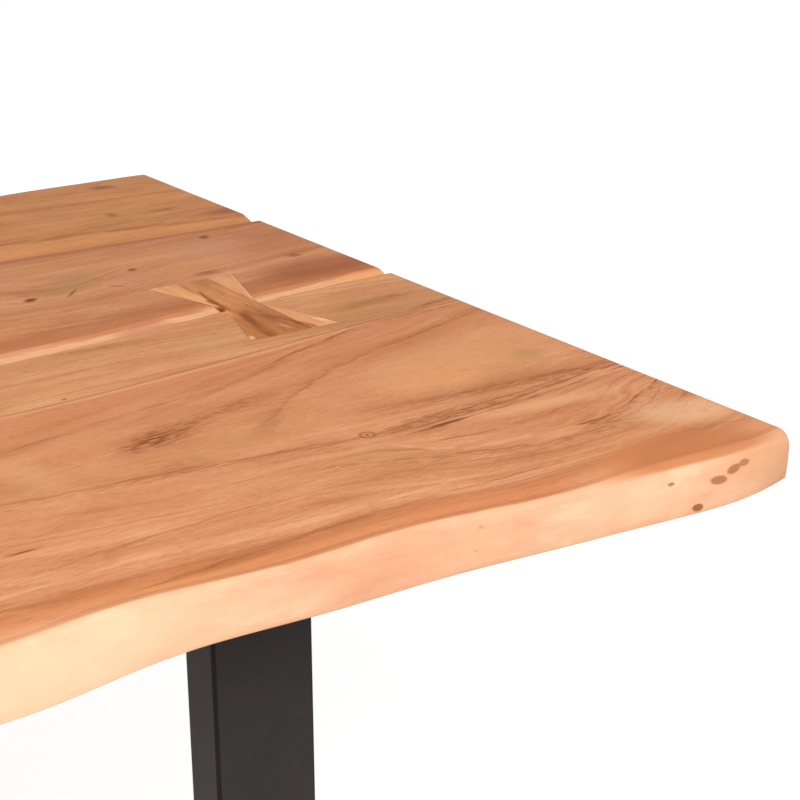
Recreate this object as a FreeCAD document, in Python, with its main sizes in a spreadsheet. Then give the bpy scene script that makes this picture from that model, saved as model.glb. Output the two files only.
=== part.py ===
import FreeCAD, Part
import math
import os

import Sketcher
from FreeCAD import Placement, Rotation, Vector

# A live edge dining table: four boards glued edge to edge, two of their seams cut as open grooves and
# bridged by butterfly keys, on two U frames welded from rectangular steel tube. Millimetres, +Z up,
# X along the table. The origin is on the floor under the middle of the top, and the front is at -Y.
# "Along" is the distance from the right-hand (+X) end, from which the wandering edges are laid out.

SIZES = {
    "table_length": (2000, "end to end"),
    "table_width": (1000, "between the two lines that the live edges wander about"),
    "table_height": (760, "floor to top face"),
    "top_thickness": (38, "all four boards"),
    "station_pitch": (40, "spacing of the points that carry a wandering edge"),
    "arris_ease": (1.5, "easing of the sawn ends and of a live edge's lower arris"),
    # the front live edge, as insets from the front line
    "front_inset": (13, "mean inset"),
    "front_swell": (17, "height of the long wave"),
    "front_swell_length": (1120, "length of the long wave"),
    "front_ripple": (3, "height of the short wave"),
    "front_ripple_length": (200, "length of the short wave"),
    "front_ripple_start": (310, "a crest of the short wave, along"),
    "front_flare": (7, "mean overhang of the lower arris beyond the top one"),
    "front_flare_wave": (4, "height of each of the overhang's two waves"),
    "front_flare_length": (240, "length of the shorter of those waves"),
    "front_flare_start": (85, "a crest of both, along"),
    # the rear live edge, the same way
    "rear_inset": (12, "mean inset"),
    "rear_swell": (12, "height of the long wave"),
    "rear_swell_length": (900, "length of the long wave"),
    "rear_ripple": (2.5, "height of the short wave"),
    "rear_ripple_length": (230, "length of the short wave"),
    "rear_ripple_start": (60, "a crest of the short wave, along"),
    "rear_flare": (5, "mean overhang of the lower arris"),
    "rear_flare_wave": (3, "height of each of the overhang's two waves"),
    "rear_flare_length": (300, "length of the shorter of those waves"),
    "rear_flare_start": (120, "a crest of both, along"),
    "live_bulge": (1.5, "how far a live edge's face swells at mid height"),
    "live_round": (4, "rounding of a live edge's top arris"),
    "corner_round": (7, "extra rounding of that arris at the four corners"),
    "corner_fade": (30, "distance over which the corners' own shape fades"),
    # the joints between the boards
    "front_seam": (478, "mean distance of the front seam from the front line"),
    "front_seam_wave": (15, "height of its wander"),
    "front_seam_length": (900, "length of its wander"),
    "rear_seam": (741, "mean distance of the rear seam from the front line"),
    "rear_seam_wave": (6, "height of its wander"),
    "rear_seam_length": (700, "length of its wander"),
    "stave_width": (113, "the stave glued flush behind the front slab"),
    "front_groove_near": (5, "bevel on the near side of the front groove"),
    "front_groove_far": (17, "bevel on its far side"),
    "front_groove_depth": (7, "top face to root"),
    "rear_groove_near": (7, "bevel on the near side of the rear groove"),
    "rear_groove_far": (31, "bevel on its far side"),
    "rear_groove_depth": (9, "top face to root"),
    "key_length": (182, "butterfly key, across the seam"),
    "key_width": (88, "at its two ends"),
    "key_waist": (34, "at the seam"),
    "key_thickness": (14, "sunk flush with the top face"),
    "key_from_end": (168.5, "centre of an end key from the table's end"),
    "rear_key_offset": (60, "centre of the key on the rear seam from the table's middle"),
    "dowel_diameter": (12, "beech dowels across every joint"),
    "dowel_length": (70, "half in each board"),
    "dowel_pitch": (360, "spacing along the joint"),
    "dowel_level": (15, "dowel centre above the underside"),
    # a leg frame
    "leg_inset": (330, "table end to the frame's outer face"),
    "frame_width": (760, "outside of the front post to outside of the rear post"),
    "tube_wide": (80, "tube's side along the table"),
    "tube_deep": (40, "tube's side in the frame's plane"),
    "tube_wall": (2, "tube wall"),
    "tube_corner": (3, "tube's outer corner radius"),
    "bar_thickness": (6, "flat bar under the top"),
    "bar_length": (880, "flat bar, across the top"),
    "bar_corner": (8, "the flat bar's corner radius"),
    "slot_width": (9, "bolt slots in the flat bar"),
    "slot_length": (20, "end to end, across the boards' grain"),
    "outer_row": (400, "outermost bolts from the middle"),
    # the fixings of a frame
    "bolt_diameter": (8, "M8"),
    "bolt_length": (25, "under the head"),
    "bolt_head": (14, "button head diameter"),
    "bolt_head_height": (4.4, "button head"),
    "bolt_head_bevel": (2.5, "how far the head narrows to its crown"),
    "socket_size": (5, "hexagon socket across flats"),
    "socket_depth": (2.6, "hexagon socket"),
    "washer_diameter": (24, "washer"),
    "washer_thickness": (2, "washer"),
    "insert_diameter": (12, "threaded insert"),
    "insert_length": (20, "threaded insert"),
    "insert_bore_spare": (1, "depth of an insert's bore beyond the insert"),
    "fit_clearance": (0.1, "between a hole or pocket and what is in it, all round"),
    # a levelling foot
    "foot_from_side": (60, "foot centre to the frame's outside"),
    "pad_diameter": (36, "foot pad"),
    "pad_floor": (3, "pad thickness under the stud"),
    "pad_lip": (1.6, "pad thickness over the stud's foot"),
    "pad_bevel": (2, "bevel round the pad's top"),
    "stud_foot": (12, "diameter of the stud's foot inside the pad"),
    "stud_foot_height": (2, "height of the stud's foot"),
    "stud_neck": (7, "diameter where the stud leaves the pad"),
    "swivel_play": (0.2, "play above and below the stud's foot, and under its collar"),
    "collar_size": (13, "stud's hexagon collar across flats"),
    "collar_height": (5, "stud's hexagon collar"),
    "collar_gap": (0.3, "collar to rivet nut, screwed right in"),
    "stud_reach": (34, "thread above the collar"),
    "running_clearance": (0.08, "round a stud, in its nut and in its pad"),
    "nut_flange": (16, "rivet nut's flange diameter"),
    "nut_flange_height": (1.5, "rivet nut's flange"),
    "nut_body": (11, "rivet nut's body diameter"),
    "nut_length": (16, "rivet nut above the rail's underside"),
}

doc = FreeCAD.newDocument("LiveEdgeTable")
sheet = doc.addObject("Spreadsheet::Sheet", "Sizes")
for row, (alias, (value, note)) in enumerate(SIZES.items(), start=1):
    sheet.set(f"A{row}", alias)
    sheet.set(f"B{row}", str(value))
    sheet.set(f"C{row}", note)
    sheet.setAlias(f"B{row}", alias)
doc.recompute()

UP = Vector(0, 0, 1)
ACROSS = Vector(0, 1, 0)
parts = []


# ---------------------------------------------------------------------------------------------
# Helpers
# ---------------------------------------------------------------------------------------------


def size(alias):
    """The number in the sheet's cell of that name."""
    return float(getattr(sheet, alias))


def keep(obj, label):
    """Lists a finished sub-part under the label that names its file."""
    obj.Label = label
    parts.append(obj)


def move(obj, spot, turn=0.0):
    """Places an object, turned about its own Z axis."""
    obj.Placement = Placement(spot, Rotation(UP, turn))
    return obj


def cylinder(name, radius, height, spot, axis=UP):
    """A cylinder whose radius and height are formulas of the sheet's cells."""
    obj = doc.addObject("Part::Cylinder", name)
    obj.setExpression("Radius", radius)
    obj.setExpression("Height", height)
    obj.Placement = Placement(spot, Rotation(UP, axis))
    return obj


def cone(name, low_radius, high_radius, height, spot):
    """A cut-off cone standing on a spot."""
    obj = doc.addObject("Part::Cone", name)
    obj.setExpression("Radius1", low_radius)
    obj.setExpression("Radius2", high_radius)
    obj.setExpression("Height", height)
    obj.Placement.Base = spot
    return obj


def hexagon(name, across_flats, height, spot):
    """A hexagonal prism standing on a spot."""
    obj = doc.addObject("Part::Prism", name)
    obj.Polygon = 6
    obj.setExpression("Circumradius", f"{across_flats} / sqrt(3)")
    obj.setExpression("Height", height)
    obj.Placement.Base = spot
    return obj


def fuse(name, shapes):
    """Objects joined into one."""
    obj = doc.addObject("Part::MultiFuse", name)
    obj.Shapes = shapes
    return obj


def cut(name, base, tool):
    """One object less another."""
    obj = doc.addObject("Part::Cut", name)
    obj.Base = base
    obj.Tool = tool
    return obj


def group(name, members):
    """Separate solids that share one node."""
    obj = doc.addObject("Part::Compound", name)
    obj.Links = members
    return obj


def new_sketch(body, name, role):
    """A sketch on one of a body's own origin planes."""
    sketch = body.newObject("Sketcher::SketchObject", name)
    plane = next(feature for feature in body.Origin.OriginFeatures if feature.Role == role)
    sketch.AttachmentSupport = [(plane, "")]
    sketch.MapMode = "FlatFace"
    return sketch


def bind(sketch, kind, line, sign, formula):
    """Holds the start of a line at a distance from the sketch's origin, on the side of the sign."""
    ends = (-1, 1, line, 1) if sign > 0 else (line, 1, -1, 1)
    index = sketch.addConstraint(Sketcher.Constraint(kind, *ends, 1.0))
    sketch.setExpression(f"Constraints[{index}]", formula)


def outline(sketch, corners):
    """A closed outline. A corner is two (rough place, formula) pairs, across and up, where the formula
    gives the distance from the sketch's origin and the rough place its side; no formula means 0."""
    first = sketch.GeometryCount
    places = [Vector(across[0], up[0], 0) for across, up in corners]
    count = len(corners)
    for i in range(count):
        sketch.addGeometry(Part.LineSegment(places[i], places[(i + 1) % count]), False)
    for i in range(count):
        sketch.addConstraint(Sketcher.Constraint("Coincident", first + i, 2, first + (i + 1) % count, 1))
    for line, (across, up) in enumerate(corners, start=first):
        bind(sketch, "DistanceX", line, across[0], across[1])
        if up[1]:
            bind(sketch, "DistanceY", line, up[0], up[1])
        else:
            sketch.addConstraint(Sketcher.Constraint("PointOnObject", line, 1, -1))


def rectangle(sketch, width, height, rough):
    """A rectangle about the sketch's origin, from two formulas; rough is a first size for it."""
    signs = [(-rough, -rough), (rough, -rough), (rough, rough), (-rough, rough)]
    outline(sketch, [((across, f"({width}) / 2"), (up, f"({height}) / 2")) for across, up in signs])


def pad(body, sketch, length, side_type="One side"):
    """Extrudes a sketch by a formula."""
    feature = body.newObject("PartDesign::Pad", sketch.Name + "_pad")
    feature.Profile = sketch
    feature.setExpression("Length", length)
    feature.SideType = side_type
    doc.recompute()
    return feature


def round_corners(body, feature, run, corner_distance, radius):
    """Rounds the edges that run one way at one distance from the body's axis in that direction."""
    corners = []
    for i, edge in enumerate(feature.Shape.Edges, start=1):
        middle = (edge.firstVertex().Point + edge.lastVertex().Point) / 2
        along_run = abs((edge.lastVertex().Point - edge.firstVertex().Point).normalize().dot(run))
        off_axis = (middle - run * middle.dot(run)).Length
        if along_run > 0.99 and abs(off_axis - corner_distance) < 0.01:
            corners.append(f"Edge{i}")
    fillet = body.newObject("PartDesign::Fillet", feature.Name + "_corners")
    fillet.Base = (feature, corners)
    fillet.setExpression("Radius", radius)
    doc.recompute()


# ---------------------------------------------------------------------------------------------
# Places worked out from the sizes
# ---------------------------------------------------------------------------------------------

HALF_LENGTH = size("table_length") / 2
FRONT = -size("table_width") / 2
REAR = size("table_width") / 2
TOP = size("table_height")
THICK = size("top_thickness")
UNDERSIDE = TOP - THICK
BAR_UNDERSIDE = UNDERSIDE - size("bar_thickness")
LEG_X = HALF_LENGTH - size("leg_inset") - size("tube_wide") / 2
POST_Y = (size("frame_width") - size("tube_deep")) / 2
FOOT_Y = size("frame_width") / 2 - size("foot_from_side")
ENDS = {"right": 1, "left": -1}
SIDES = {"front": -1, "rear": 1}

# A foot stacks up from the floor, with the same play under and over the stud's foot and under its collar.
STUD_BASE = size("pad_floor") + size("swivel_play")
PAD_CEILING = STUD_BASE + size("stud_foot_height") + size("swivel_play")
PAD_TOP = PAD_CEILING + size("pad_lip")
COLLAR_BASE = PAD_TOP + size("swivel_play")
THREAD_BASE = COLLAR_BASE + size("collar_height")
NUT_BASE = THREAD_BASE + size("collar_gap")
RAIL_UNDERSIDE = NUT_BASE + size("nut_flange_height")


def wave(along, height, length, start=0.0):
    """A cosine wave with a crest at start."""
    return height * math.cos(2 * math.pi * (along - start) / length)


def along_from(x):
    """Distance of x from the table's right-hand end."""
    return HALF_LENGTH - x


def front_seam_y(x):
    """Root of the front groove, where the stave meets the middle board."""
    wander = wave(along_from(x), size("front_seam_wave"), size("front_seam_length"))
    return FRONT + size("front_seam") + wander


def stave_joint_y(x):
    """The flush joint between the front slab and the stave."""
    return front_seam_y(x) - size("stave_width")


def rear_seam_y(x):
    """Root of the rear groove, where the middle board meets the rear slab."""
    wander = wave(along_from(x), size("rear_seam_wave"), size("rear_seam_length"))
    return FRONT + size("rear_seam") - wander


def corner_nearness(x):
    """1 at either end of the table, fading to 0 away from it."""
    return math.exp((abs(x) - HALF_LENGTH) / size("corner_fade"))


def rounding(depth, radius):
    """How far a quarter round of that radius stands in at a depth below its arris."""
    short = max(radius - depth, 0.0)
    return radius - math.sqrt(radius * radius - short * short)


def live_inset(side, x, height):
    """How far inside its reference line a live edge's face lies, at a height above the underside."""
    along = along_from(x)
    arris = size(side + "_inset") - wave(along, size(side + "_swell"), size(side + "_swell_length"))
    ripple_start = size(side + "_ripple_start")
    arris += wave(along, size(side + "_ripple"), size(side + "_ripple_length"), ripple_start)
    flare_wave = size(side + "_flare_wave")
    flare_length = size(side + "_flare_length")
    flare_start = size(side + "_flare_start")
    flare = size(side + "_flare") + wave(along, flare_wave, flare_length, flare_start)
    flare += wave(along, flare_wave, 2 * flare_length, flare_start)
    nearness = corner_nearness(x)
    level = height / THICK
    inset = arris - flare * (1 - nearness) * (1 - level) - 4 * size("live_bulge") * level * (1 - level)
    inset += rounding(THICK - height, size("live_round") + size("corner_round") * nearness)
    return inset + rounding(height, size("arris_ease"))


def bevel(height, width, depth):
    """How far a groove's bevel has cut into a board at a height above the underside."""
    return width * max(height - (THICK - depth), 0.0) / depth


# ---------------------------------------------------------------------------------------------
# The butterfly keys and the dowels, with the bores and pockets they sit in
# ---------------------------------------------------------------------------------------------

def bow_tie(name, grow):
    """A butterfly key about the origin, standing on z = 0. Its pocket is one that has grown all round."""
    body = doc.addObject("PartDesign::Body", name)
    sketch = new_sketch(body, name + "_outline", "XY_Plane")
    half_width = f"Sizes.key_width / 2 + {grow}"
    half_waist = f"Sizes.key_waist / 2 + {grow}"
    half_length = f"Sizes.key_length / 2 + {grow}"
    wide, narrow, long = size("key_width") / 2, size("key_waist") / 2, size("key_length") / 2
    corners = [
        ((-wide, half_width), (-long, half_length)),
        ((wide, half_width), (-long, half_length)),
        ((narrow, half_waist), (0, "")),
        ((wide, half_width), (long, half_length)),
        ((-wide, half_width), (long, half_length)),
        ((-narrow, half_waist), (0, "")),
    ]
    outline(sketch, corners)
    pad(body, sketch, f"Sizes.key_thickness + {grow}")
    return body


KEYS = {
    "butterfly_key_front_right": (HALF_LENGTH - size("key_from_end"), front_seam_y),
    "butterfly_key_front_left": (size("key_from_end") - HALF_LENGTH, front_seam_y),
    "butterfly_key_rear": (size("rear_key_offset"), rear_seam_y),
}
joinery = []
for name, (x, seam_y) in KEYS.items():
    bed = Vector(x, seam_y(x), TOP - size("key_thickness"))
    keep(move(bow_tie(name, "0"), bed), name)
    joinery.append(move(bow_tie(name + "_pocket", "Sizes.fit_clearance"), bed))

# Dowels run across each joint, spread evenly about the middle of the table.
DOWEL_COUNT = int(size("table_length") // size("dowel_pitch"))
DOWEL_XS = [(i - (DOWEL_COUNT - 1) / 2) * size("dowel_pitch") for i in range(DOWEL_COUNT)]
JOINTS = {"stave_joint": stave_joint_y, "front_seam": front_seam_y, "rear_seam": rear_seam_y}
for joint, joint_y in JOINTS.items():
    dowels = []
    for i, x in enumerate(DOWEL_XS):
        start = Vector(x, joint_y(x) - size("dowel_length") / 2, UNDERSIDE + size("dowel_level"))
        name = f"{joint}_dowel_{i}"
        dowels.append(cylinder(name, "Sizes.dowel_diameter / 2", "Sizes.dowel_length", start, ACROSS))
        start = start - ACROSS * size("fit_clearance")
        radius = "Sizes.dowel_diameter / 2 + Sizes.fit_clearance"
        length = "Sizes.dowel_length + 2 * Sizes.fit_clearance"
        joinery.append(cylinder(name + "_bore", radius, length, start, ACROSS))
    keep(group(joint + "_dowels", dowels), joint + "_dowels")

# A frame is bolted to every board: in the wide front slab twice, and in each other board once.
ROWS = [
    -size("outer_row"),
    (stave_joint_y(LEG_X) - POST_Y) / 2,
    (stave_joint_y(LEG_X) + front_seam_y(LEG_X)) / 2,
    (front_seam_y(LEG_X) + rear_seam_y(LEG_X)) / 2,
    size("outer_row"),
]
BOLT_SPOTS = {end: [Vector(sign * LEG_X, y, UNDERSIDE) for y in ROWS] for end, sign in ENDS.items()}
for end, spots in BOLT_SPOTS.items():
    for i, spot in enumerate(spots):
        radius = "Sizes.insert_diameter / 2 + Sizes.fit_clearance"
        depth = "Sizes.insert_length + Sizes.insert_bore_spare"
        joinery.append(cylinder(f"{end}_insert_bore_{i}", radius, depth, spot))

# ---------------------------------------------------------------------------------------------
# The four boards
# ---------------------------------------------------------------------------------------------


def edge_curve(points):
    """A smooth edge through points."""
    curve = Part.BSplineCurve()
    curve.interpolate(points)
    return curve.toShape()


def board_section(height, near_y, far_y):
    """The outline of a board at one height, between its near and far edges."""
    ease = rounding(THICK - height, size("arris_ease")) + rounding(height, size("arris_ease"))
    half = HALF_LENGTH - ease
    count = math.ceil(size("table_length") / size("station_pitch"))
    xs = [half * (2 * i / count - 1) for i in range(count + 1)]
    near = [Vector(x, near_y(x, height), UNDERSIDE + height) for x in xs]
    far = [Vector(x, far_y(x, height), UNDERSIDE + height) for x in reversed(xs)]
    right_end = Part.makeLine(near[-1], far[0])
    left_end = Part.makeLine(far[-1], near[0])
    return Part.Wire([edge_curve(near), right_end, edge_curve(far), left_end])


def board(name, near_y, far_y, levels):
    """A board lofted straight from level to level, less its joinery."""
    ease = size("arris_ease")
    heights = sorted({0.0, ease / 3, ease, THICK - ease, THICK - ease / 3, THICK, *levels})
    blank = doc.addObject("Part::Feature", name + "_blank")
    blank.Shape = Part.makeLoft([board_section(height, near_y, far_y) for height in heights], True, True)
    keep(cut(name, blank, all_joinery), name)


def front_live_y(x, height):
    """The front live edge's face."""
    return FRONT + live_inset("front", x, height)


def rear_live_y(x, height):
    """The rear live edge's face."""
    return REAR - live_inset("rear", x, height)


def stave_joint_face(x, height):
    """The flush joint's face, upright at every height."""
    return stave_joint_y(x)


def front_near_face(x, height):
    """The stave's face in the front seam, bevelled at the top."""
    return front_seam_y(x) - bevel(height, size("front_groove_near"), size("front_groove_depth"))


def front_far_face(x, height):
    """The middle board's face in the front seam."""
    return front_seam_y(x) + bevel(height, size("front_groove_far"), size("front_groove_depth"))


def rear_near_face(x, height):
    """The middle board's face in the rear seam."""
    return rear_seam_y(x) - bevel(height, size("rear_groove_near"), size("rear_groove_depth"))


def rear_far_face(x, height):
    """The rear slab's face in the rear seam."""
    return rear_seam_y(x) + bevel(height, size("rear_groove_far"), size("rear_groove_depth"))


all_joinery = group("joinery", joinery)
ROUND_FOOT = THICK - size("live_round")
CORNER_FOOT = ROUND_FOOT - size("corner_round")
LIVE_LEVELS = [CORNER_FOOT / 3, CORNER_FOOT * 2 / 3, CORNER_FOOT]
LIVE_LEVELS += [(CORNER_FOOT + ROUND_FOOT) / 2, ROUND_FOOT]
FRONT_ROOT = THICK - size("front_groove_depth")
REAR_ROOT = THICK - size("rear_groove_depth")
board("front_slab", front_live_y, stave_joint_face, LIVE_LEVELS)
board("front_stave", stave_joint_face, front_near_face, [FRONT_ROOT])
board("middle_board", front_far_face, rear_near_face, [FRONT_ROOT, REAR_ROOT])
board("rear_slab", rear_far_face, rear_live_y, [*LIVE_LEVELS, REAR_ROOT])

# ---------------------------------------------------------------------------------------------
# The two leg frames: two posts and a foot rail of tube, mitred at the feet, and a flat bar on top
# ---------------------------------------------------------------------------------------------

HALF_TUBE = size("tube_deep") / 2
HALF_FRAME = size("frame_width") / 2
TUBE_CORNER_DISTANCE = math.hypot(size("tube_wide"), size("tube_deep")) / 2
POST_LENGTH = f"Sizes.table_height - Sizes.top_thickness - Sizes.bar_thickness - {RAIL_UNDERSIDE}"


def tube(name, role, length, side_type, run):
    """A straight length of tube, its profile on an origin plane."""
    body = doc.addObject("PartDesign::Body", name)
    profile = new_sketch(body, name + "_profile", role)
    rough = size("tube_deep")
    rectangle(profile, "Sizes.tube_wide", "Sizes.tube_deep", rough)
    inner_wide = "Sizes.tube_wide - 2 * Sizes.tube_wall"
    inner_deep = "Sizes.tube_deep - 2 * Sizes.tube_wall"
    rectangle(profile, inner_wide, inner_deep, rough - size("tube_wall"))
    length_pad = pad(body, profile, length, side_type)
    round_corners(body, length_pad, run, TUBE_CORNER_DISTANCE, "Sizes.tube_corner")
    return body


def mitre(body, name, corners):
    """Cuts a triangle right through a tube in the frame's plane, and checks that it took something."""
    before = body.Shape.Volume
    sketch = new_sketch(body, name, "YZ_Plane")
    outline(sketch, corners)
    pocket = body.newObject("PartDesign::Pocket", name + "_pocket")
    pocket.Profile = sketch
    pocket.Type = "ThroughAll"
    pocket.SideType = "Symmetric"
    doc.recompute()
    if not 0 < pocket.Shape.Volume < before:
        raise RuntimeError(f"{name} cut nothing")


def post(name):
    """An upright with its foot mitred: its outside is at -Y, and its foot is at z = 0."""
    body = tube(name, "XY_Plane", POST_LENGTH, "One side", UP)
    side, rise = "Sizes.tube_deep / 2", "Sizes.tube_deep"
    low_out = ((-HALF_TUBE, side), (0, ""))
    low_in = ((HALF_TUBE, side), (0, ""))
    high_in = ((HALF_TUBE, side), (2 * HALF_TUBE, rise))
    mitre(body, name + "_mitre", [low_out, low_in, high_in])
    return body


def foot_rail(name):
    """The rail between two posts, mitred at both ends, about its own centre."""
    body = tube(name, "XZ_Plane", "Sizes.frame_width", "Symmetric", ACROSS)
    reach, side = "Sizes.frame_width / 2", "Sizes.tube_deep / 2"
    for end, sign in SIDES.items():
        low_out = ((sign * HALF_FRAME, reach), (-HALF_TUBE, side))
        high_out = ((sign * HALF_FRAME, reach), (HALF_TUBE, side))
        high_in = ((sign * (HALF_FRAME - 2 * HALF_TUBE), reach + " - Sizes.tube_deep"), (HALF_TUBE, side))
        mitre(body, f"{name}_{end}_mitre", [low_out, high_out, high_in])
    return body


def bar_slot(name, spot):
    """The cutter of a bolt slot, long across the table."""
    half_run = (size("slot_length") - size("slot_width")) / 2
    middle = doc.addObject("Part::Box", name + "_middle")
    middle.setExpression("Length", "Sizes.slot_width")
    middle.setExpression("Width", "Sizes.slot_length - Sizes.slot_width")
    middle.setExpression("Height", "Sizes.bar_thickness")
    middle.Placement.Base = spot - Vector(size("slot_width") / 2, half_run, 0)
    ends = []
    for end, sign in SIDES.items():
        end_spot = spot + ACROSS * (sign * half_run)
        ends.append(cylinder(f"{name}_{end}", "Sizes.slot_width / 2", "Sizes.bar_thickness", end_spot))
    return fuse(name, [middle, *ends])


def top_bar(name, spot):
    """The flat bar that the posts are welded to and the bolts go through."""
    body = doc.addObject("PartDesign::Body", name + "_blank")
    sketch = new_sketch(body, name + "_outline", "XY_Plane")
    rectangle(sketch, "Sizes.tube_wide", "Sizes.bar_length", size("tube_wide") / 2)
    thickness = pad(body, sketch, "Sizes.bar_thickness")
    corner_distance = math.hypot(size("tube_wide"), size("bar_length")) / 2
    round_corners(body, thickness, UP, corner_distance, "Sizes.bar_corner")
    move(body, spot)
    slots = [bar_slot(f"{name}_slot_{i}", Vector(spot.x, y, spot.z)) for i, y in enumerate(ROWS)]
    return cut(name, body, group(name + "_slots", slots))


# ---------------------------------------------------------------------------------------------
# Fasteners
# ---------------------------------------------------------------------------------------------


def ring(name, outer, inner, height, spot):
    """A flat ring of two radii."""
    disc = cylinder(name + "_disc", outer, height, spot)
    hole = cylinder(name + "_hole", inner, height, spot)
    return cut(name, disc, hole)


def bolt(name, bearing):
    """A button head bolt pointing up, its head's bearing face at a spot."""
    head_spot = bearing - UP * size("bolt_head_height")
    crown = "Sizes.bolt_head / 2 - Sizes.bolt_head_bevel"
    head = cone(name + "_head", crown, "Sizes.bolt_head / 2", "Sizes.bolt_head_height", head_spot)
    shank = cylinder(name + "_shank", "Sizes.bolt_diameter / 2", "Sizes.bolt_length", bearing)
    socket = hexagon(name + "_socket", "Sizes.socket_size", "Sizes.socket_depth", head_spot)
    return cut(name, fuse(name + "_blank", [head, shank]), socket)


def rivet_nut(name, spot):
    """A rivet nut, its flange under the foot rail."""
    flange = cylinder(name + "_flange", "Sizes.nut_flange / 2", "Sizes.nut_flange_height", spot)
    length = "Sizes.nut_flange_height + Sizes.nut_length"
    barrel = cylinder(name + "_barrel", "Sizes.nut_body / 2", length, spot)
    thread = cylinder(name + "_thread", "Sizes.bolt_diameter / 2 + Sizes.running_clearance", length, spot)
    return cut(name, fuse(name + "_blank", [flange, barrel]), thread)


def foot_pad(name, spot):
    """A round foot, hollow for the stud's foot and bevelled round its top."""
    wide = "Sizes.pad_diameter / 2"
    base_height = f"{PAD_TOP} - Sizes.pad_bevel"
    base = cylinder(name + "_base", wide, base_height, spot)
    shoulder_spot = spot + UP * (PAD_TOP - size("pad_bevel"))
    shoulder = cone(name + "_shoulder", wide, wide + " - Sizes.pad_bevel", "Sizes.pad_bevel", shoulder_spot)
    chamber_radius = "Sizes.stud_foot / 2 + Sizes.running_clearance"
    chamber_height = "Sizes.stud_foot_height + 2 * Sizes.swivel_play"
    floor = spot + UP * size("pad_floor")
    chamber = cylinder(name + "_chamber", chamber_radius, chamber_height, floor)
    mouth_radius = "Sizes.stud_neck / 2 + Sizes.running_clearance"
    mouth = cylinder(name + "_mouth", mouth_radius, "Sizes.pad_lip", spot + UP * PAD_CEILING)
    return cut(name, fuse(name + "_blank", [base, shoulder]), fuse(name + "_hollow", [chamber, mouth]))


def foot_stud(name, spot):
    """A levelling stud: its foot in the pad, a neck, a hexagon collar, and a thread up into the nut."""
    foot = cylinder(name + "_foot", "Sizes.stud_foot / 2", "Sizes.stud_foot_height", spot + UP * STUD_BASE)
    neck_height = f"{COLLAR_BASE} - {STUD_BASE}"
    neck = cylinder(name + "_neck", "Sizes.stud_neck / 2", neck_height, spot + UP * STUD_BASE)
    collar = hexagon(name + "_collar", "Sizes.collar_size", "Sizes.collar_height", spot + UP * COLLAR_BASE)
    thread_spot = spot + UP * THREAD_BASE
    thread = cylinder(name + "_thread", "Sizes.bolt_diameter / 2", "Sizes.stud_reach", thread_spot)
    return fuse(name, [foot, neck, collar, thread])


for end, sign in ENDS.items():
    leg = Vector(sign * LEG_X, 0, RAIL_UNDERSIDE)
    for side, turn in {"front": 0, "rear": 180}.items():
        upright = post(f"{end}_{side}_post")
        keep(move(upright, leg + ACROSS * (SIDES[side] * POST_Y), turn), f"{end}_{side}_post")
    rail = move(foot_rail(f"{end}_foot_rail_blank"), leg + UP * HALF_TUBE)
    nuts = []
    nut_holes = []
    for side, hand in SIDES.items():
        foot = Vector(leg.x, hand * FOOT_Y, 0)
        nuts.append(rivet_nut(f"{end}_{side}_nut", foot + UP * NUT_BASE))
        radius = "Sizes.nut_body / 2 + Sizes.fit_clearance"
        hole_spot = foot + UP * RAIL_UNDERSIDE
        nut_holes.append(cylinder(f"{end}_{side}_nut_hole", radius, "Sizes.tube_wall", hole_spot))
        keep(foot_pad(f"{end}_{side}_foot_pad", foot), f"{end}_{side}_foot_pad")
        keep(foot_stud(f"{end}_{side}_foot_stud", foot), f"{end}_{side}_foot_stud")
    keep(cut(f"{end}_foot_rail", rail, group(f"{end}_nut_holes", nut_holes)), f"{end}_foot_rail")
    keep(group(f"{end}_rivet_nuts", nuts), f"{end}_rivet_nuts")
    keep(top_bar(f"{end}_top_bar", Vector(leg.x, 0, BAR_UNDERSIDE)), f"{end}_top_bar")

    bolts = []
    washers = []
    inserts = []
    hole = "Sizes.bolt_diameter / 2 + Sizes.fit_clearance"
    for i, spot in enumerate(BOLT_SPOTS[end]):
        bearing = spot - UP * (size("bar_thickness") + size("washer_thickness"))
        bolts.append(bolt(f"{end}_bolt_{i}", bearing))
        rim = "Sizes.washer_diameter / 2"
        washers.append(ring(f"{end}_washer_{i}", rim, hole, "Sizes.washer_thickness", bearing))
        barrel = "Sizes.insert_diameter / 2"
        inserts.append(ring(f"{end}_insert_{i}", barrel, hole, "Sizes.insert_length", spot))
    keep(group(f"{end}_frame_bolts", bolts), f"{end}_frame_bolts")
    keep(group(f"{end}_washers", washers), f"{end}_washers")
    keep(group(f"{end}_threaded_inserts", inserts), f"{end}_threaded_inserts")

# ---------------------------------------------------------------------------------------------
# Checks and files
# ---------------------------------------------------------------------------------------------

doc.recompute()
for obj in doc.Objects:
    if "Invalid" in obj.State or "Error" in obj.State:
        raise RuntimeError(f"{obj.Name} failed: {obj.State}")
for obj in parts:
    if obj.Shape.isNull() or not obj.Shape.isValid() or not obj.Shape.Solids:
        raise RuntimeError(f"{obj.Label} has no sound shape")

os.makedirs("parts", exist_ok=True)
for obj in parts:
    obj.Shape.exportStep(f"parts/{obj.Label}.step")
    box = obj.Shape.BoundBox
    corners = f"{box.XMin:.1f} {box.YMin:.1f} {box.ZMin:.1f} to {box.XMax:.1f} {box.YMax:.1f} {box.ZMax:.1f}"
    print(f"{obj.Label}: {len(obj.Shape.Solids)} solid(s), {corners}, {obj.Shape.Volume / 1000:.1f} cm3")
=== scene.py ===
"""A live edge dining table: what each surface looks like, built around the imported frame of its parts.

Lengths in the finishes and in the boards' formulas are millimetres, because the joinery is laid out in
them, and every mesh is in metres. "Along" runs from the table's right-hand end, "across" from the front
line that the live edge wanders about, and "depth" down from the top face.
"""

import logging
import math
from dataclasses import dataclass, field, replace
from enum import Enum

import bpy
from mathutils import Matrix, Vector, noise


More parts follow.
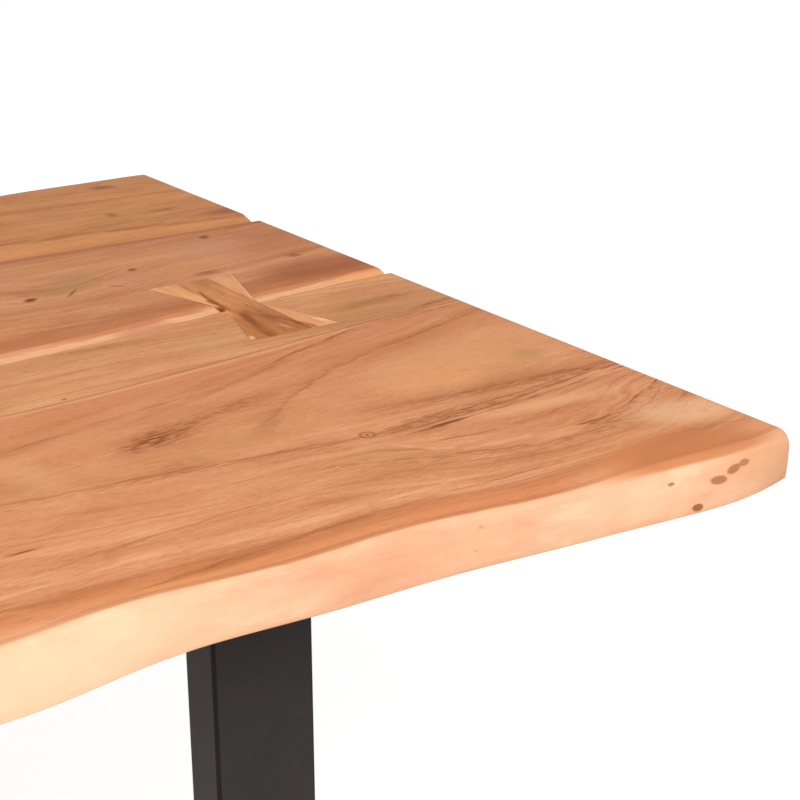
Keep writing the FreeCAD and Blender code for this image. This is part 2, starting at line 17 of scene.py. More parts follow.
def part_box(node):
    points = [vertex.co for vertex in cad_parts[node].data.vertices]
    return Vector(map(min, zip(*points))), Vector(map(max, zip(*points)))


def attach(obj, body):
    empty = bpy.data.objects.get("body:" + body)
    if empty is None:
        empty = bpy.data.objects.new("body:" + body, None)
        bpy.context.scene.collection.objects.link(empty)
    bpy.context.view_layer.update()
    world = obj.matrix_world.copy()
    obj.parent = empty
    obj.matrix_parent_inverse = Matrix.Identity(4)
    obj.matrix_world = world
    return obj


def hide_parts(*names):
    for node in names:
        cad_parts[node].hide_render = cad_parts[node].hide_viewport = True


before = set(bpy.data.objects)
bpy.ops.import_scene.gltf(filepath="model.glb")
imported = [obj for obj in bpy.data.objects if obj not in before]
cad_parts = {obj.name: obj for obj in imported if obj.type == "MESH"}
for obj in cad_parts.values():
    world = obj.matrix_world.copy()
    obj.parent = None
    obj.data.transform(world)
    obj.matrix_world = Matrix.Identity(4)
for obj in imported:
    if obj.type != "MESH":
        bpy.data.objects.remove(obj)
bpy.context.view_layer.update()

log = logging.getLogger("live_edge_table")

MM = 0.001
SLAB_LOW, SLAB_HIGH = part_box("front_slab")
TOP = SLAB_HIGH.z / MM
THICK = TOP - SLAB_LOW.z / MM
HALF_LENGTH = SLAB_HIGH.x / MM
TABLE_WIDTH = 1000.0
FRONT = -TABLE_WIDTH / 2
REAR = TABLE_WIDTH / 2
BODY = "table"
# An edge or a face's normal counts as along an axis where more than this share of it lies that way.
ALONG_AXIS = 0.9
# Degrees past which an edge between two faces stays sharp.
SHARP = 30

Tree = bpy.types.NodeTree
Node = bpy.types.Node
Socket = bpy.types.NodeSocket
Material = bpy.types.Material
Piece = bpy.types.Object
Point = tuple[float, float, float]
Pair = tuple[float, float]

# The oil's gloss. It is low, because it soaks in and leaves no film.
WOOD_GLOSS = 0.05

# The values on a board's points that tell how far in from its front and rear arrises each lies.
NEAR_SIDE = "near_side"
FAR_SIDE = "far_side"

# Width and length, in mm, of the short flecks beside a dark grain line, of the ragged places in its course
# and of the breaks in it.
FLECK = (2.6, 12.0)
STRAY = (10.0, 26.0)
BREAK = (16.0, 60.0)


# ---------------------------------------------------------------------------------------------
# Materials
# ---------------------------------------------------------------------------------------------


def linear(colour: str) -> tuple[float, float, float, float]:
    """Turns an sRGB hex colour into linear RGBA.

    Args:
        colour: Six hex digits after a hash, such as "#c4845a".

    Returns:
        The colour's red, green, blue and an alpha of 1, as shaders read them.
    """
    channels = []
    for start in (1, 3, 5):
        value = int(colour[start:start + 2], 16) / 255
        channels.append(value / 12.92 if value <= 0.04045 else ((value + 0.055) / 1.055) ** 2.4)
    return (*channels, 1.0)


def add(tree: Tree, kind: str, inputs: dict | None = None, **settings: object) -> Node:
    """Adds a node with its settings and links.

    Args:
        tree: The node tree that the node goes into.
        kind: The node's type, without the "ShaderNode" that starts every type's name.
        inputs: What each input socket gets, by name or place: another node, whose first output in use is
            linked, or one of its sockets, or a plain value.
        settings: The node's own properties.

    Returns:
        The new node.
    """
    made = tree.nodes.new("ShaderNode" + kind)
    for name, value in settings.items():
        setattr(made, name, value)
    for key, value in (inputs or {}).items():
        named = [socket for socket in made.inputs if socket.enabled and socket.name == key]
        target = named[0] if named else made.inputs[key]
        if isinstance(value, Node):
            value = next(socket for socket in value.outputs if socket.enabled)
        if isinstance(value, Socket):
            tree.links.new(value, target)
        else:
            target.default_value = value
    return made


def new_material(name: str) -> tuple[Material, Tree]:
    """Makes an empty material.

    Args:
        name: The finish's name.

    Returns:
        The material and its node tree, with nothing in it.
    """
    material = bpy.data.materials.new(name)
    material.use_nodes = True
    material.node_tree.nodes.clear()
    return material, material.node_tree


def fill_ramp(ramp: Node, stops: list[tuple[float, tuple]]) -> None:
    """Writes a colour ramp's stops, with an eased run between them.

    Args:
        ramp: The colour ramp node.
        stops: Position from 0 to 1, and linear colour, of each stop in order.
    """
    elements = ramp.color_ramp.elements
    ramp.color_ramp.interpolation = "EASE"
    while len(elements) < len(stops):
        elements.new(1.0)
    for element, (position, colour) in zip(elements, stops):
        element.position = position
        element.color = colour


def fill_curve(curve: Node, points: list[Pair]) -> None:
    """Writes a float curve's points.

    Args:
        curve: The float curve node.
        points: Place and value of each point, both from 0 to 1, in order of place.
    """
    slots = curve.mapping.curves[0].points
    while len(slots) < len(points):
        slots.new(1.0, 0.5)
    for slot, point in zip(slots, points):
        slot.location = point
    curve.mapping.update()


def shows_backdrop(tree: Tree) -> Node:
    """Tells the sight of the backdrop from the light that it gives.

    Args:
        tree: The node tree of the floor or of the world.

    Returns:
        1 for the camera, for reflections and for views through glass, and 0 for the light on the object.
    """
    path = add(tree, "LightPath")
    seen = path.outputs["Is Camera Ray"]
    for kind in ("Is Glossy Ray", "Is Transmission Ray"):
        seen = add(tree, "Math", {0: seen, 1: path.outputs[kind]}, operation="MAXIMUM")
    return seen


def noise_field(
    tree: Tree, place: Node, reach: Point, detail: float, shift: Point = (0, 0, 0),
    roughness: float = 0.5, distortion: float = 0.0,
) -> Node:
    """Adds a noise whose spots have a real size.

    Args:
        tree: The material's node tree.
        place: Where the noise is read, in mm.
        reach: Size of a spot along each axis, in mm.
        detail: How many finer layers the noise has.
        shift: How far the noise is moved along each axis, in spots.
        roughness: How strong the finer layers are.
        distortion: How far the noise is twisted.

    Returns:
        The noise, from 0 to 1.
    """
    scaled = add(
        tree, "Mapping", {"Vector": place, "Location": shift, "Scale": tuple(1 / size for size in reach)}
    )
    return add(
        tree, "TexNoise",
        {"Vector": scaled, "Scale": 1.0, "Detail": detail, "Roughness": roughness,
         "Distortion": distortion},
    )


def drawn_out(tree: Tree, place: Node, size: Pair, detail: float, seed: float) -> Node:
    """Adds a noise that is drawn out straight along the grain.

    Args:
        tree: The material's node tree.
        place: Along the grain and two ways across it, in mm.
        size: Width and length of the noise's spots, in mm.
        detail: How many finer layers the noise has.
        seed: Where in the noise the piece is cut from.

    Returns:
        The noise, from 0 to 1.
    """
    width, length = size
    return noise_field(tree, place, (length, width, width), detail, (seed, seed, 0), distortion=0.2)


def line_noises(tree: Tree, place: Node, stray_detail: float, seed: float) -> tuple[Node, Node, Node]:
    """Adds the three noises that grain lines are drawn with.

    Args:
        tree: The material's node tree.
        place: Along the grain and two ways across it, in mm.
        stray_detail: How many finer layers the lines' straying has.
        seed: Where in the noise the piece is cut from.

    Returns:
        How far a line strays, how much of it shows, in long stretches near 1 with faint ones between, and
        short dark streaks along the grain, each from 0 to 1.
    """
    stray = drawn_out(tree, place, STRAY, stray_detail, seed)
    breaks, flecks = (
        add(
            tree, "MapRange",
            {"Value": drawn_out(tree, place, size, 2.0, seed), "From Min": low, "From Max": high,
             "To Min": least},
            interpolation_type="SMOOTHSTEP",
        )
        for size, low, high, least in ((BREAK, 0.36, 0.58, 0.15), (FLECK, 0.44, 0.6, 0.0))
    )
    return stray, breaks, flecks


@dataclass(frozen=True)
class StainOrHighlight:
    """A soft-edged spot of another colour: a knot, a dark patch, a streak, a crack or a pale zone.

    Some of them are painted highlights.

    Attributes:
        centre: Along, across and depth of its middle, in mm.
        reach: Half its size in those three directions, before it is turned.
        colour: What the wood turns to there, as sRGB hex.
        strength: How far it turns, from 0 to 1.
        turn: Degrees that it is turned in the plane of the top.
        lean: Degrees that it is turned in the plane of a live edge's face.
        core: Share of the reach that has full strength.
        streaky: How much of it shows only where the grain's dark streaks run, from 0 to 1.
    """

    centre: Point
    reach: Point
    colour: str
    strength: float
    turn: float = 0.0
    lean: float = 0.0
    core: float = 0.15
    streaky: float = 0.0

    def paint(self, tree: Tree, place: Node, base: Node, streaks: Node) -> Node:
        """Mixes the stain or painted highlight over a colour.

        Args:
            tree: The material's node tree.
            place: The node that gives along, across and depth.
            base: The colour under the stain.
            streaks: The grain's dark streaks, from 0 to 1.

        Returns:
            The node that gives the colour with the stain.
        """
        turned = (0.0, math.radians(self.lean), math.radians(self.turn))
        local = add(
            tree, "Mapping",
            {"Vector": place, "Location": self.centre, "Rotation": turned, "Scale": self.reach},
            vector_type="TEXTURE",
        )
        away = add(tree, "VectorMath", {0: local}, operation="LENGTH")
        share = add(
            tree, "MapRange",
            {"Value": away, "From Min": self.core, "From Max": 1.0, "To Min": self.strength, "To Max": 0.0},
            interpolation_type="SMOOTHSTEP",
        )
        if self.streaky:
            kept = add(
                tree, "Math", {0: streaks, 1: self.streaky, 2: 1.0 - self.streaky}, operation="MULTIPLY_ADD"
            )
            share = add(tree, "Math", {0: share, 1: kept}, operation="MULTIPLY", use_clamp=True)
        return add(tree, "Mix", {"Factor": share, "A": base, "B": linear(self.colour)}, data_type="RGBA")


@dataclass(frozen=True)
class Strip:
    """A strip of another colour that follows one long side of a board.

    In the grooves some of them paint highlight and some paint shade.

    Attributes:
        start: Its edge nearer to the board's middle, in mm in from the side's top arris.
        stop: Its other edge, negative where it lies on the wall or face below the arris.
        soft: Distance over which both edges fade.
        colour: What the wood turns to there, as sRGB hex.
        strength: How far it turns, from 0 to 1.
        uneven: How far its edges wander with the grain.
    """

    start: float
    stop: float
    soft: float
    colour: str
    strength: float
    uneven: float

    def paint(self, tree: Tree, inward: Socket, base: Node, streaks: Node) -> Node:
        """Mixes the strip over a colour.

        Args:
            tree: The material's node tree.
            inward: How far in from the side's arris each point lies.
            base: The colour under the strip.
            streaks: The grain's streaks, about 0.5 in the mean.

        Returns:
            The node that gives the colour with the strip.
        """
        wander = add(
            tree, "Math", {0: streaks, 1: 4 * self.uneven, 2: -2 * self.uneven}, operation="MULTIPLY_ADD"
        )
        value = add(tree, "Math", {0: inward, 1: wander}, operation="ADD")
        inner = add(
            tree, "MapRange",
            {"Value": value, "From Min": self.start + self.soft, "From Max": self.start},
            interpolation_type="SMOOTHSTEP",
        )
        outer = add(
            tree, "MapRange",
            {"Value": value, "From Min": self.stop - self.soft, "From Max": self.stop,
             "To Max": self.strength},
            interpolation_type="SMOOTHSTEP",
        )
        share = add(tree, "Math", {0: inner, 1: outer}, operation="MULTIPLY")
        return add(tree, "Mix", {"Factor": share, "A": base, "B": linear(self.colour)}, data_type="RGBA")


@dataclass(frozen=True)
class GrainLineOrHighlight:
    """A ragged line that one growth ring leaves in the top, with a band of dark flecks beside it.

    Some of them are painted highlights drawn the same way.

    Attributes:
        course: Along and across of the points that it runs through, in mm and in order of along.
        width: Its width, in mm.
        strength: How far the wood turns to its colour, from 0 to 1.
        shade: Width of the flecked band beside it, which lies towards the rear where this is positive.
        shade_strength: How far the flecks in the band turn.
        colour: What the wood turns to there, as sRGB hex.
        ragged: How far it strays to either side of its course.
    """

    course: tuple[Pair, ...]
    width: float
    strength: float
    shade: float
    shade_strength: float
    colour: str = "#8c5029"
    ragged: float = 4.5

    # Share of its course over which a line fades out at either end.
    END_FADE = 0.12

    def paint(self, tree: Tree, parts: Node, base: Node, stray: Node, breaks: Node, flecks: Node) -> Node:
        """Mixes the line over a colour.

        Args:
            tree: The material's node tree.
            parts: Along, across and depth, separated.
            base: The colour under the line.
            stray: The noise that the line strays with.
            breaks: How much of the line shows at each point, from 0 to 1.
            flecks: Short dark streaks, from 0 to 1.

        Returns:
            The node that gives the colour with the line.
        """
        start, end = self.course[0][0], self.course[-1][0]
        low = min(across for _, across in self.course)
        span = max(across for _, across in self.course) - low
        share = add(tree, "MapRange", {"Value": parts.outputs["X"], "From Min": start, "From Max": end})
        curve = add(tree, "FloatCurve", {"Value": share})
        fill_curve(curve, [((x - start) / (end - start), (y - low) / span) for x, y in self.course])
        across = add(tree, "Math", {0: curve, 1: span, 2: low}, operation="MULTIPLY_ADD")
        off = add(tree, "Math", {0: parts.outputs["Y"], 1: across}, operation="SUBTRACT")
        stray = add(tree, "Math", {0: stray, 1: 2 * self.ragged, 2: -self.ragged}, operation="MULTIPLY_ADD")
        off = add(tree, "Math", {0: off, 1: stray}, operation="ADD")
        away = add(tree, "Math", {0: off}, operation="ABSOLUTE")
        line = add(
            tree, "MapRange",
            {"Value": away, "From Min": self.width * 0.3, "From Max": self.width, "To Min": self.strength,
             "To Max": 0.0},
            interpolation_type="SMOOTHSTEP",
        )
        beside = add(tree, "Math", {0: off, 1: self.shade}, operation="DIVIDE")
        rise = add(tree, "MapRange", {"Value": beside, "From Min": -0.2, "From Max": 0.1})
        fall = add(
            tree, "MapRange",
            {"Value": beside, "From Min": 1.0, "From Max": 0.0, "To Max": self.shade_strength},
        )
        band = add(tree, "Math", {0: rise, 1: fall}, operation="MULTIPLY")
        band = add(tree, "Math", {0: band, 1: flecks}, operation="MULTIPLY")
        share_line = add(tree, "Math", {0: line, 1: breaks}, operation="MULTIPLY")
        total = add(tree, "Math", {0: share_line, 1: band}, operation="MAXIMUM")
        for low_end, high_end in ((0.0, self.END_FADE), (1.0, 1.0 - self.END_FADE)):
            fade = add(
                tree, "MapRange", {"Value": share, "From Min": low_end, "From Max": high_end},
                interpolation_type="SMOOTHSTEP",
            )
            total = add(tree, "Math", {0: total, 1: fade}, operation="MULTIPLY")
        return add(tree, "Mix", {"Factor": total, "A": base, "B": linear(self.colour)}, data_type="RGBA")


@dataclass(frozen=True)
class Swirl:
    """A place where the growth rings bulge, so that the cut shows them bowed aside.

    Attributes:
        centre: Along, across and depth of its middle, in mm.
        reach: Half its size in those three directions.
        lift: How many mm of rings it pushes aside at its middle.
    """

    centre: Point
    reach: Point
    lift: float


class Edge(Enum):
    """What one long side of a board is."""

    LIVE = "live"
    GROOVE = "groove"
    GLUED = "glued"


@dataclass(frozen=True)
class Figure:
    """The figure and colours of one board.

    Attributes:
        tones: The wood's colours from the darkest ring to the palest, as sRGB hex.
        pith_line: Where the rings' centre lies across, at distances along: (along, across) pairs.
        pith_depth: How deep the rings' centre lies, at distances along: (along, depth) pairs.
        ring_chart: Tone of the rings by radius: (radius, tone from 0 to 1) pairs.
        stains_and_highlights: Knots, patches and streaks, and painted highlights in a groove.
        near_strips: Strips that follow the front side.
        far_strips: Strips that follow the rear side.
        seed: Where in the noise the board is cut from.
        swirls: Where the rings bulge.
        lines: The rings that stand out as lines of their own.
    """

    tones: tuple[str, ...]
    pith_line: tuple[Pair, ...]
    pith_depth: tuple[Pair, ...]
    ring_chart: tuple[Pair, ...]
    stains_and_highlights: tuple[StainOrHighlight, ...]
    near_strips: tuple[Strip, ...]
    far_strips: tuple[Strip, ...]
    seed: float
    swirls: tuple[Swirl, ...] = ()
    lines: tuple[GrainLineOrHighlight, ...] = ()


@dataclass(frozen=True)
class OiledAcacia:
    """Acacia, planed, sanded and oiled.

    The oil leaves a satin surface that keeps the colour warm. Growth rings give broad tone bands with thin
    dark lines, the fibres a fine streak along the board, and the open pores short dark dashes. The
    sapwood, which shows only on a live edge, is pale and hardly figured.

    Attributes:
        name: The finish's name.
        figure: The board's own figure.
        near: What the board's front side is.
        far: What the board's rear side is.
    """

    name: str
    figure: Figure
    near: Edge
    far: Edge

    LONGEST = 2 * HALF_LENGTH
    # Width and length of each kind of streak, in mm.
    BAND = (24.0, 560.0)
    STREAK = (5.0, 240.0)
    FIBRE = (1.3, 55.0)
    CLOUD = (26.0, 75.0)
    SPECK = (1.8, 8.0)
    # Size along, across and down of the drift in colour, of the sapwood's clouds and streaks, of the plane's
    # hollows and of the pores, in mm. Pores are 0.2 mm wide and are drawn coarser, to show.
    MOTTLE = (200.0, 60.0, 60.0)
    SAP_CLOUD = (62.0, 200.0, 24.0)
    SAP_STREAK = (34.0, 200.0, 2.2)
    HOLLOW = (140.0, 45.0, 45.0)
    PORE = (13.0, 0.9, 0.9)
    # Size along, across and down of the bends in the rings, and how far each bends them, in mm.
    BENDS = (((170, 55, 90), 16.0), ((46, 17, 40), 5.0), ((15, 6, 14), 1.8))
    # Mean width of a ring, how many rings its drift amounts to, and the stretches over which one fades.
    RING = 9.0
    RING_DRIFT = 3.0
    RING_FADE = (150.0, 30.0, 1.0)
    # Depths of the plane's hollows and of the raised grain, in mm.
    HOLLOW_DEPTH = 1.2
    GRAIN_DEPTH = 0.3
    # How far in from a sawn end the dark oil ends and where it is full, in mm.
    END_OIL = (0.9, 0.2)

    def build(self) -> Material:
        """Builds the material.

        Returns:
            The finished material.
        """
        material, tree = new_material(self.name)
        place = self.place(tree)
        parts = add(tree, "SeparateXYZ", {0: place})
        radius, course, slant = self.rings(tree, place, parts)
        flow = add(tree, "CombineXYZ", {"X": parts.outputs["X"], "Y": radius, "Z": self.figure.seed})
        fibre_flow = add(tree, "CombineXYZ", {"X": parts.outputs["X"], "Y": course, "Z": parts.outputs["Z"]})
        bands = self.streak_noise(tree, flow, self.BAND, 2.0, slant)
        streaks = self.streak_noise(tree, flow, self.STREAK, 3.0, slant)
        fibres = self.streak_noise(tree, fibre_flow, self.FIBRE, 2.0)
        pale_streaks = add(
            tree, "MapRange", {"Value": streaks, "From Min": 0.44, "From Max": 0.58},
            interpolation_type="SMOOTHSTEP",
        )
        seed = self.figure.seed
        clouds = drawn_out(tree, place, self.CLOUD, 3.0, seed)
        specks = drawn_out(tree, place, self.SPECK, 1.0, seed)
        layers = ((bands, 0.75), (streaks, 0.65), (fibres, 0.7), (clouds, 0.8), (specks, 0.5))
        tone = self.tone(tree, radius, layers)
        colour = add(tree, "ValToRGB", {"Fac": tone})
        steps = len(self.figure.tones) - 1
        fill_ramp(colour, [(i / steps, linear(c)) for i, c in enumerate(self.figure.tones)])
        colour = self.mottle(tree, place, colour)
        colour = self.ring_lines(tree, radius, flow, bands, slant, colour)
        for side, strips in ((NEAR_SIDE, self.figure.near_strips), (FAR_SIDE, self.figure.far_strips)):
            inward = add(tree, "Attribute", attribute_name=side).outputs["Fac"]
            for strip in strips:
                colour = strip.paint(tree, inward, colour, streaks)
        stray, breaks, flecks = line_noises(tree, place, 3.0, seed)
        for line in self.figure.lines:
            colour = line.paint(tree, parts, colour, stray, breaks, flecks)
        # some of the middle board's are painted highlights in its front groove
        for stain in self.figure.stains_and_highlights:
            colour = stain.paint(tree, place, colour, flecks)
        pores = self.pores(tree, place, pale_streaks)
        colour = add(tree, "Mix", {"Factor": pores, "A": colour, "B": linear("#7d4524")}, data_type="RGBA")
        for side, kind in ((NEAR_SIDE, self.near), (FAR_SIDE, self.far)):
            if kind is Edge.LIVE:
                colour = self.sapwood(tree, place, side, colour, streaks)
        colour = self.end_grain(tree, parts, colour)
        self.surface(tree, place, colour, fibres, pores)
        return material

    def place(self, tree: Tree) -> Node:
        """Turns Object coordinates into along, across and depth.

        Args:
            tree: The material's node tree.

        Returns:
            The node that gives the three, in mm.
        """
        where = add(tree, "TexCoord")
        return add(
            tree, "Mapping",
            {"Vector": where.outputs["Object"], "Location": (HALF_LENGTH, -FRONT, TOP),
             "Scale": (-1 / MM, 1 / MM, -1 / MM)},
        )

    def rings(self, tree: Tree, place: Node, parts: Node) -> tuple[Node, Node, Node]:
        """Lays out the growth rings and the fibres that run between them.

        Args:
            tree: The material's node tree.
            place: Along, across and depth.
            parts: The same three, separated.

        Returns:
            The nodes that give the ring's radius in mm, the fibre's place across in mm, and how steeply the
            surface cuts the rings, from 0 where it only grazes them to 1.
        """
        share = add(tree, "Math", {0: parts.outputs["X"], 1: self.LONGEST}, operation="DIVIDE")
        pith = []
        for line in (self.figure.pith_line, self.figure.pith_depth):
            curve = add(tree, "FloatCurve", {"Value": share})
            fill_curve(curve, [(along / self.LONGEST, value / TABLE_WIDTH) for along, value in line])
            pith.append(add(tree, "Math", {0: curve, 1: TABLE_WIDTH}, operation="MULTIPLY"))
        warped = parts.outputs["Y"]
        for size, amount in self.BENDS:
            bend = noise_field(tree, place, size, 2.0, (self.figure.seed * 7, 0, 0), roughness=0.45)
            bend = add(tree, "Math", {0: bend, 1: amount, 2: -amount / 2}, operation="MULTIPLY_ADD")
            warped = add(tree, "Math", {0: warped, 1: bend}, operation="ADD")
        aside = add(tree, "Math", {0: warped, 1: pith[0]}, operation="SUBTRACT")
        below = add(tree, "Math", {0: pith[1], 1: parts.outputs["Z"]}, operation="SUBTRACT")
        offset = add(tree, "CombineXYZ", {"X": aside, "Y": below})
        radius = add(tree, "VectorMath", {0: offset}, operation="LENGTH").outputs["Value"]
        slant = add(tree, "Math", {0: aside}, operation="ABSOLUTE")
        slant = add(tree, "Math", {0: slant, 1: radius}, operation="DIVIDE")
        slant = add(
            tree, "MapRange", {"Value": slant, "From Min": 0.15, "From Max": 0.7, "To Min": 0.12},
            interpolation_type="SMOOTHSTEP",
        )
        for swirl in self.figure.swirls:
            local = add(
                tree, "Mapping", {"Vector": place, "Location": swirl.centre, "Scale": swirl.reach},
                vector_type="TEXTURE",
            )
            away = add(tree, "VectorMath", {0: local}, operation="LENGTH")
            lift = add(
                tree, "MapRange", {"Value": away, "To Min": swirl.lift, "To Max": 0.0},
                interpolation_type="SMOOTHSTEP",
            )
            radius = add(tree, "Math", {0: radius, 1: lift}, operation="SUBTRACT")
            warped = add(tree, "Math", {0: warped, 1: lift}, operation="ADD")
        return radius, warped, slant

    def streak_noise(
        self, tree: Tree, flow: Node, size: Pair, detail: float, share: Node | float = 1.0
    ) -> Node:
        """Gives a noise drawn out along the grain.

        Args:
            tree: The material's node tree.
            flow: Along and either the ring's radius or the fibre's place across.
            size: Width and length of a streak, in mm.
            detail: How many finer layers the noise has.
            share: How much of the noise shows, from 0 to 1.

        Returns:
            The noise, from 0 to 1, and level at 0.5 where none of it shows.
        """
        width, length = size
        noisy = noise_field(tree, flow, (length, width, width), detail, roughness=0.6, distortion=0.1)
        around = add(tree, "Math", {0: noisy, 1: 0.5}, operation="SUBTRACT")
        return add(tree, "Math", {0: around, 1: share, 2: 0.5}, operation="MULTIPLY_ADD")

    def tone(self, tree: Tree, radius: Node, layers: tuple[tuple[Node, float], ...]) -> Node:
        """Adds up the rings' charted tone and the layers of streaks.

        Args:
            tree: The material's node tree.
            radius: The ring's radius, in mm.
            layers: Each layer's noise and its weight.

        Returns:
            The tone, from 0 for the darkest wood to 1 for the palest.
        """
        farthest = self.figure.ring_chart[-1][0]
        share = add(tree, "Math", {0: radius, 1: farthest}, operation="DIVIDE")
        chart = add(tree, "ValToRGB", {"Fac": share})
        fill_ramp(chart, [(r / farthest, (tone, tone, tone, 1.0)) for r, tone in self.figure.ring_chart])
        total = chart
        shift = 0.0
        for part, amount in layers:
            total = add(tree, "Math", {0: part, 1: amount, 2: total}, operation="MULTIPLY_ADD")
            shift += amount / 2
        return add(tree, "Math", {0: total, 1: shift}, operation="SUBTRACT", use_clamp=True)

    def mottle(self, tree: Tree, place: Node, colour: Node) -> Node:
        """Lays the slow drift between rosy and olive wood over a colour.

        Args:
            tree: The material's node tree.
            place: Along, across and depth.
            colour: The colour under the drift.

        Returns:
            The node that gives the colour with the drift.
        """
        drift = noise_field(tree, place, self.MOTTLE, 2.0, (self.figure.seed, self.figure.seed * 3, 0))
        for low, high, tint, most in ((0.52, 0.7, "#c08a50", 0.35), (0.48, 0.3, "#cf8055", 0.3)):
            share = add(
                tree, "MapRange", {"Value": drift, "From Min": low, "From Max": high, "To Max": most}
            )
            colour = add(tree, "Mix", {"Factor": share, "A": colour, "B": linear(tint)}, data_type="RGBA")
        return colour

    def ring_lines(
        self, tree: Tree, radius: Node, flow: Node, bands: Node, slant: Node, colour: Node
    ) -> Node:
        """Draws the thin dark line that ends each growth ring, strong on some rings and lost on others.

        Args:
            tree: The material's node tree.
            radius: The ring's radius, in mm.
            flow: Along and the ring's radius.
            bands: The broadest streaks, which the rings' widths drift with.
            slant: How steeply the surface cuts the rings.
            colour: The colour under the lines.

        Returns:
            The node that gives the colour with the lines.
        """
        drift = add(tree, "Math", {0: bands, 1: self.RING_DRIFT}, operation="MULTIPLY")
        count = add(tree, "Math", {0: radius, 1: 1 / self.RING, 2: drift}, operation="MULTIPLY_ADD")
        part = add(tree, "Math", {0: count}, operation="FRACT")
        number = add(tree, "Math", {0: count}, operation="FLOOR")
        chance = add(tree, "TexWhiteNoise", {"W": number}, noise_dimensions="1D")
        chance = add(tree, "Math", {0: chance.outputs["Value"], 1: 1.6}, operation="POWER")
        rise = add(
            tree, "MapRange", {"Value": part, "From Min": 0.72, "From Max": 0.95},
            interpolation_type="SMOOTHSTEP",
        )
        fall = add(
            tree, "MapRange",
            {"Value": part, "From Min": 0.95, "From Max": 1.0, "To Min": 1.0, "To Max": 0.0},
        )
        fade = noise_field(tree, flow, self.RING_FADE, 1.0)
        fade = add(
            tree, "MapRange",
            {"Value": fade, "From Min": 0.38, "From Max": 0.66, "To Min": 0.05, "To Max": 0.9},
            interpolation_type="SMOOTHSTEP",
        )
        share = fall
        for factor in (rise, chance, fade, slant):
            share = add(tree, "Math", {0: share, 1: factor}, operation="MULTIPLY")
        return add(
            tree, "Mix", {"Factor": share, "A": colour, "B": linear(self.figure.tones[0])}, data_type="RGBA"
        )

    def pores(self, tree: Tree, place: Node, pale_streaks: Node) -> Node:
        """Scatters the open pores, short dark dashes along the grain.

        Args:
            tree: The material's node tree.
            place: Along, across and depth.
            pale_streaks: The wood's pale streaks, in which the pores are sparser.

        Returns:
            How much of a pore shows, from 0 to 0.36.
        """
        dashes = noise_field(tree, place, self.PORE, 1.0)
        dashes = add(tree, "Math", {0: pale_streaks, 1: -0.07, 2: dashes}, operation="MULTIPLY_ADD")
        return add(
            tree, "MapRange", {"Value": dashes, "From Min": 0.58, "From Max": 0.72, "To Max": 0.36}
        )

    def sapwood(self, tree: Tree, place: Node, side: str, colour: Node, streaks: Node) -> Node:
        """Lays the pale sapwood over a live edge's face, with its dark spots.

        Args:
            tree: The material's node tree.
            place: Along, across and depth.
            side: The attribute that tells how far in from the live arris each point lies.
            colour: The heartwood's colour.
            streaks: The grain's streaks.

        Returns:
            The node that gives the colour of both.
        """
        inward = add(tree, "Attribute", attribute_name=side).outputs["Fac"]
        clouds = noise_field(tree, place, self.SAP_CLOUD, 3.0, roughness=0.6)
        fine = noise_field(tree, place, self.SAP_STREAK, 2.0)
        clouds = add(tree, "Math", {0: fine, 1: 0.22, 2: clouds}, operation="MULTIPLY_ADD")
        pale = add(tree, "ValToRGB", {"Fac": clouds})
        fill_ramp(pale, [(0.42, linear("#dfa17d")), (0.61, linear("#e5b08b")), (0.8, linear("#ebc19b"))])
        edge = add(tree, "Math", {0: streaks, 1: 4.0, 2: inward}, operation="MULTIPLY_ADD")
        share = add(
            tree, "MapRange", {"Value": edge, "From Min": 1.2, "From Max": -0.2},
            interpolation_type="SMOOTHSTEP",
        )
        colour = add(tree, "Mix", {"Factor": share, "A": colour, "B": pale}, data_type="RGBA")
        for spot in SAPWOOD_SPOTS[side]:
            colour = spot.paint(tree, place, colour, streaks)
        return colour

    def end_grain(self, tree: Tree, parts: Node, colour: Node) -> Node:
        """Darkens the sawn ends, where the cut fibres drink the oil.

        Args:
            tree: The material's node tree.
            parts: Along, across and depth, separated.
            colour: The colour of the rest.

        Returns:
            The node that gives the colour with dark ends.
        """
        outer, full = (HALF_LENGTH - inset for inset in self.END_OIL)
        from_middle = add(tree, "Math", {0: parts.outputs["X"], 1: HALF_LENGTH}, operation="SUBTRACT")
        from_middle = add(tree, "Math", {0: from_middle}, operation="ABSOLUTE")
        share = add(
            tree, "MapRange", {"Value": from_middle, "From Min": outer, "From Max": full, "To Max": 0.5}
        )
        return add(tree, "Mix", {"Factor": share, "A": colour, "B": linear("#9c5f38")}, data_type="RGBA")

    def surface(self, tree: Tree, place: Node, colour: Node, fibres: Node, pores: Node) -> None:
        """Closes the material: a satin oil finish over raised grain and the plane's faint hollows.

        Args:
            tree: The material's node tree.
            place: Along, across and depth.
            colour: The wood's colour.
            fibres: The finest streaks, which stand up and are smoother.
            pores: How much of a pore shows.
        """
        hollows = noise_field(tree, place, self.HOLLOW, 1.0)
        planed = add(tree, "Bump", {"Strength": 1.0, "Distance": self.HOLLOW_DEPTH * MM, "Height": hollows})
        height = add(tree, "Math", {0: fibres, 1: pores}, operation="SUBTRACT")
        bump = add(
            tree, "Bump",
            {"Strength": 0.5, "Distance": self.GRAIN_DEPTH * MM, "Height": height, "Normal": planed},
        )
        rough = add(
            tree, "MapRange",
            {"Value": fibres, "From Min": 0.3, "From Max": 0.7, "To Min": 0.6, "To Max": 0.5},
        )
        shader = add(
            tree, "BsdfPrincipled",
            {"Base Color": colour, "Roughness": rough, "Normal": bump, "Specular IOR Level": WOOD_GLOSS},
        )
        add(tree, "OutputMaterial", {"Surface": shader})


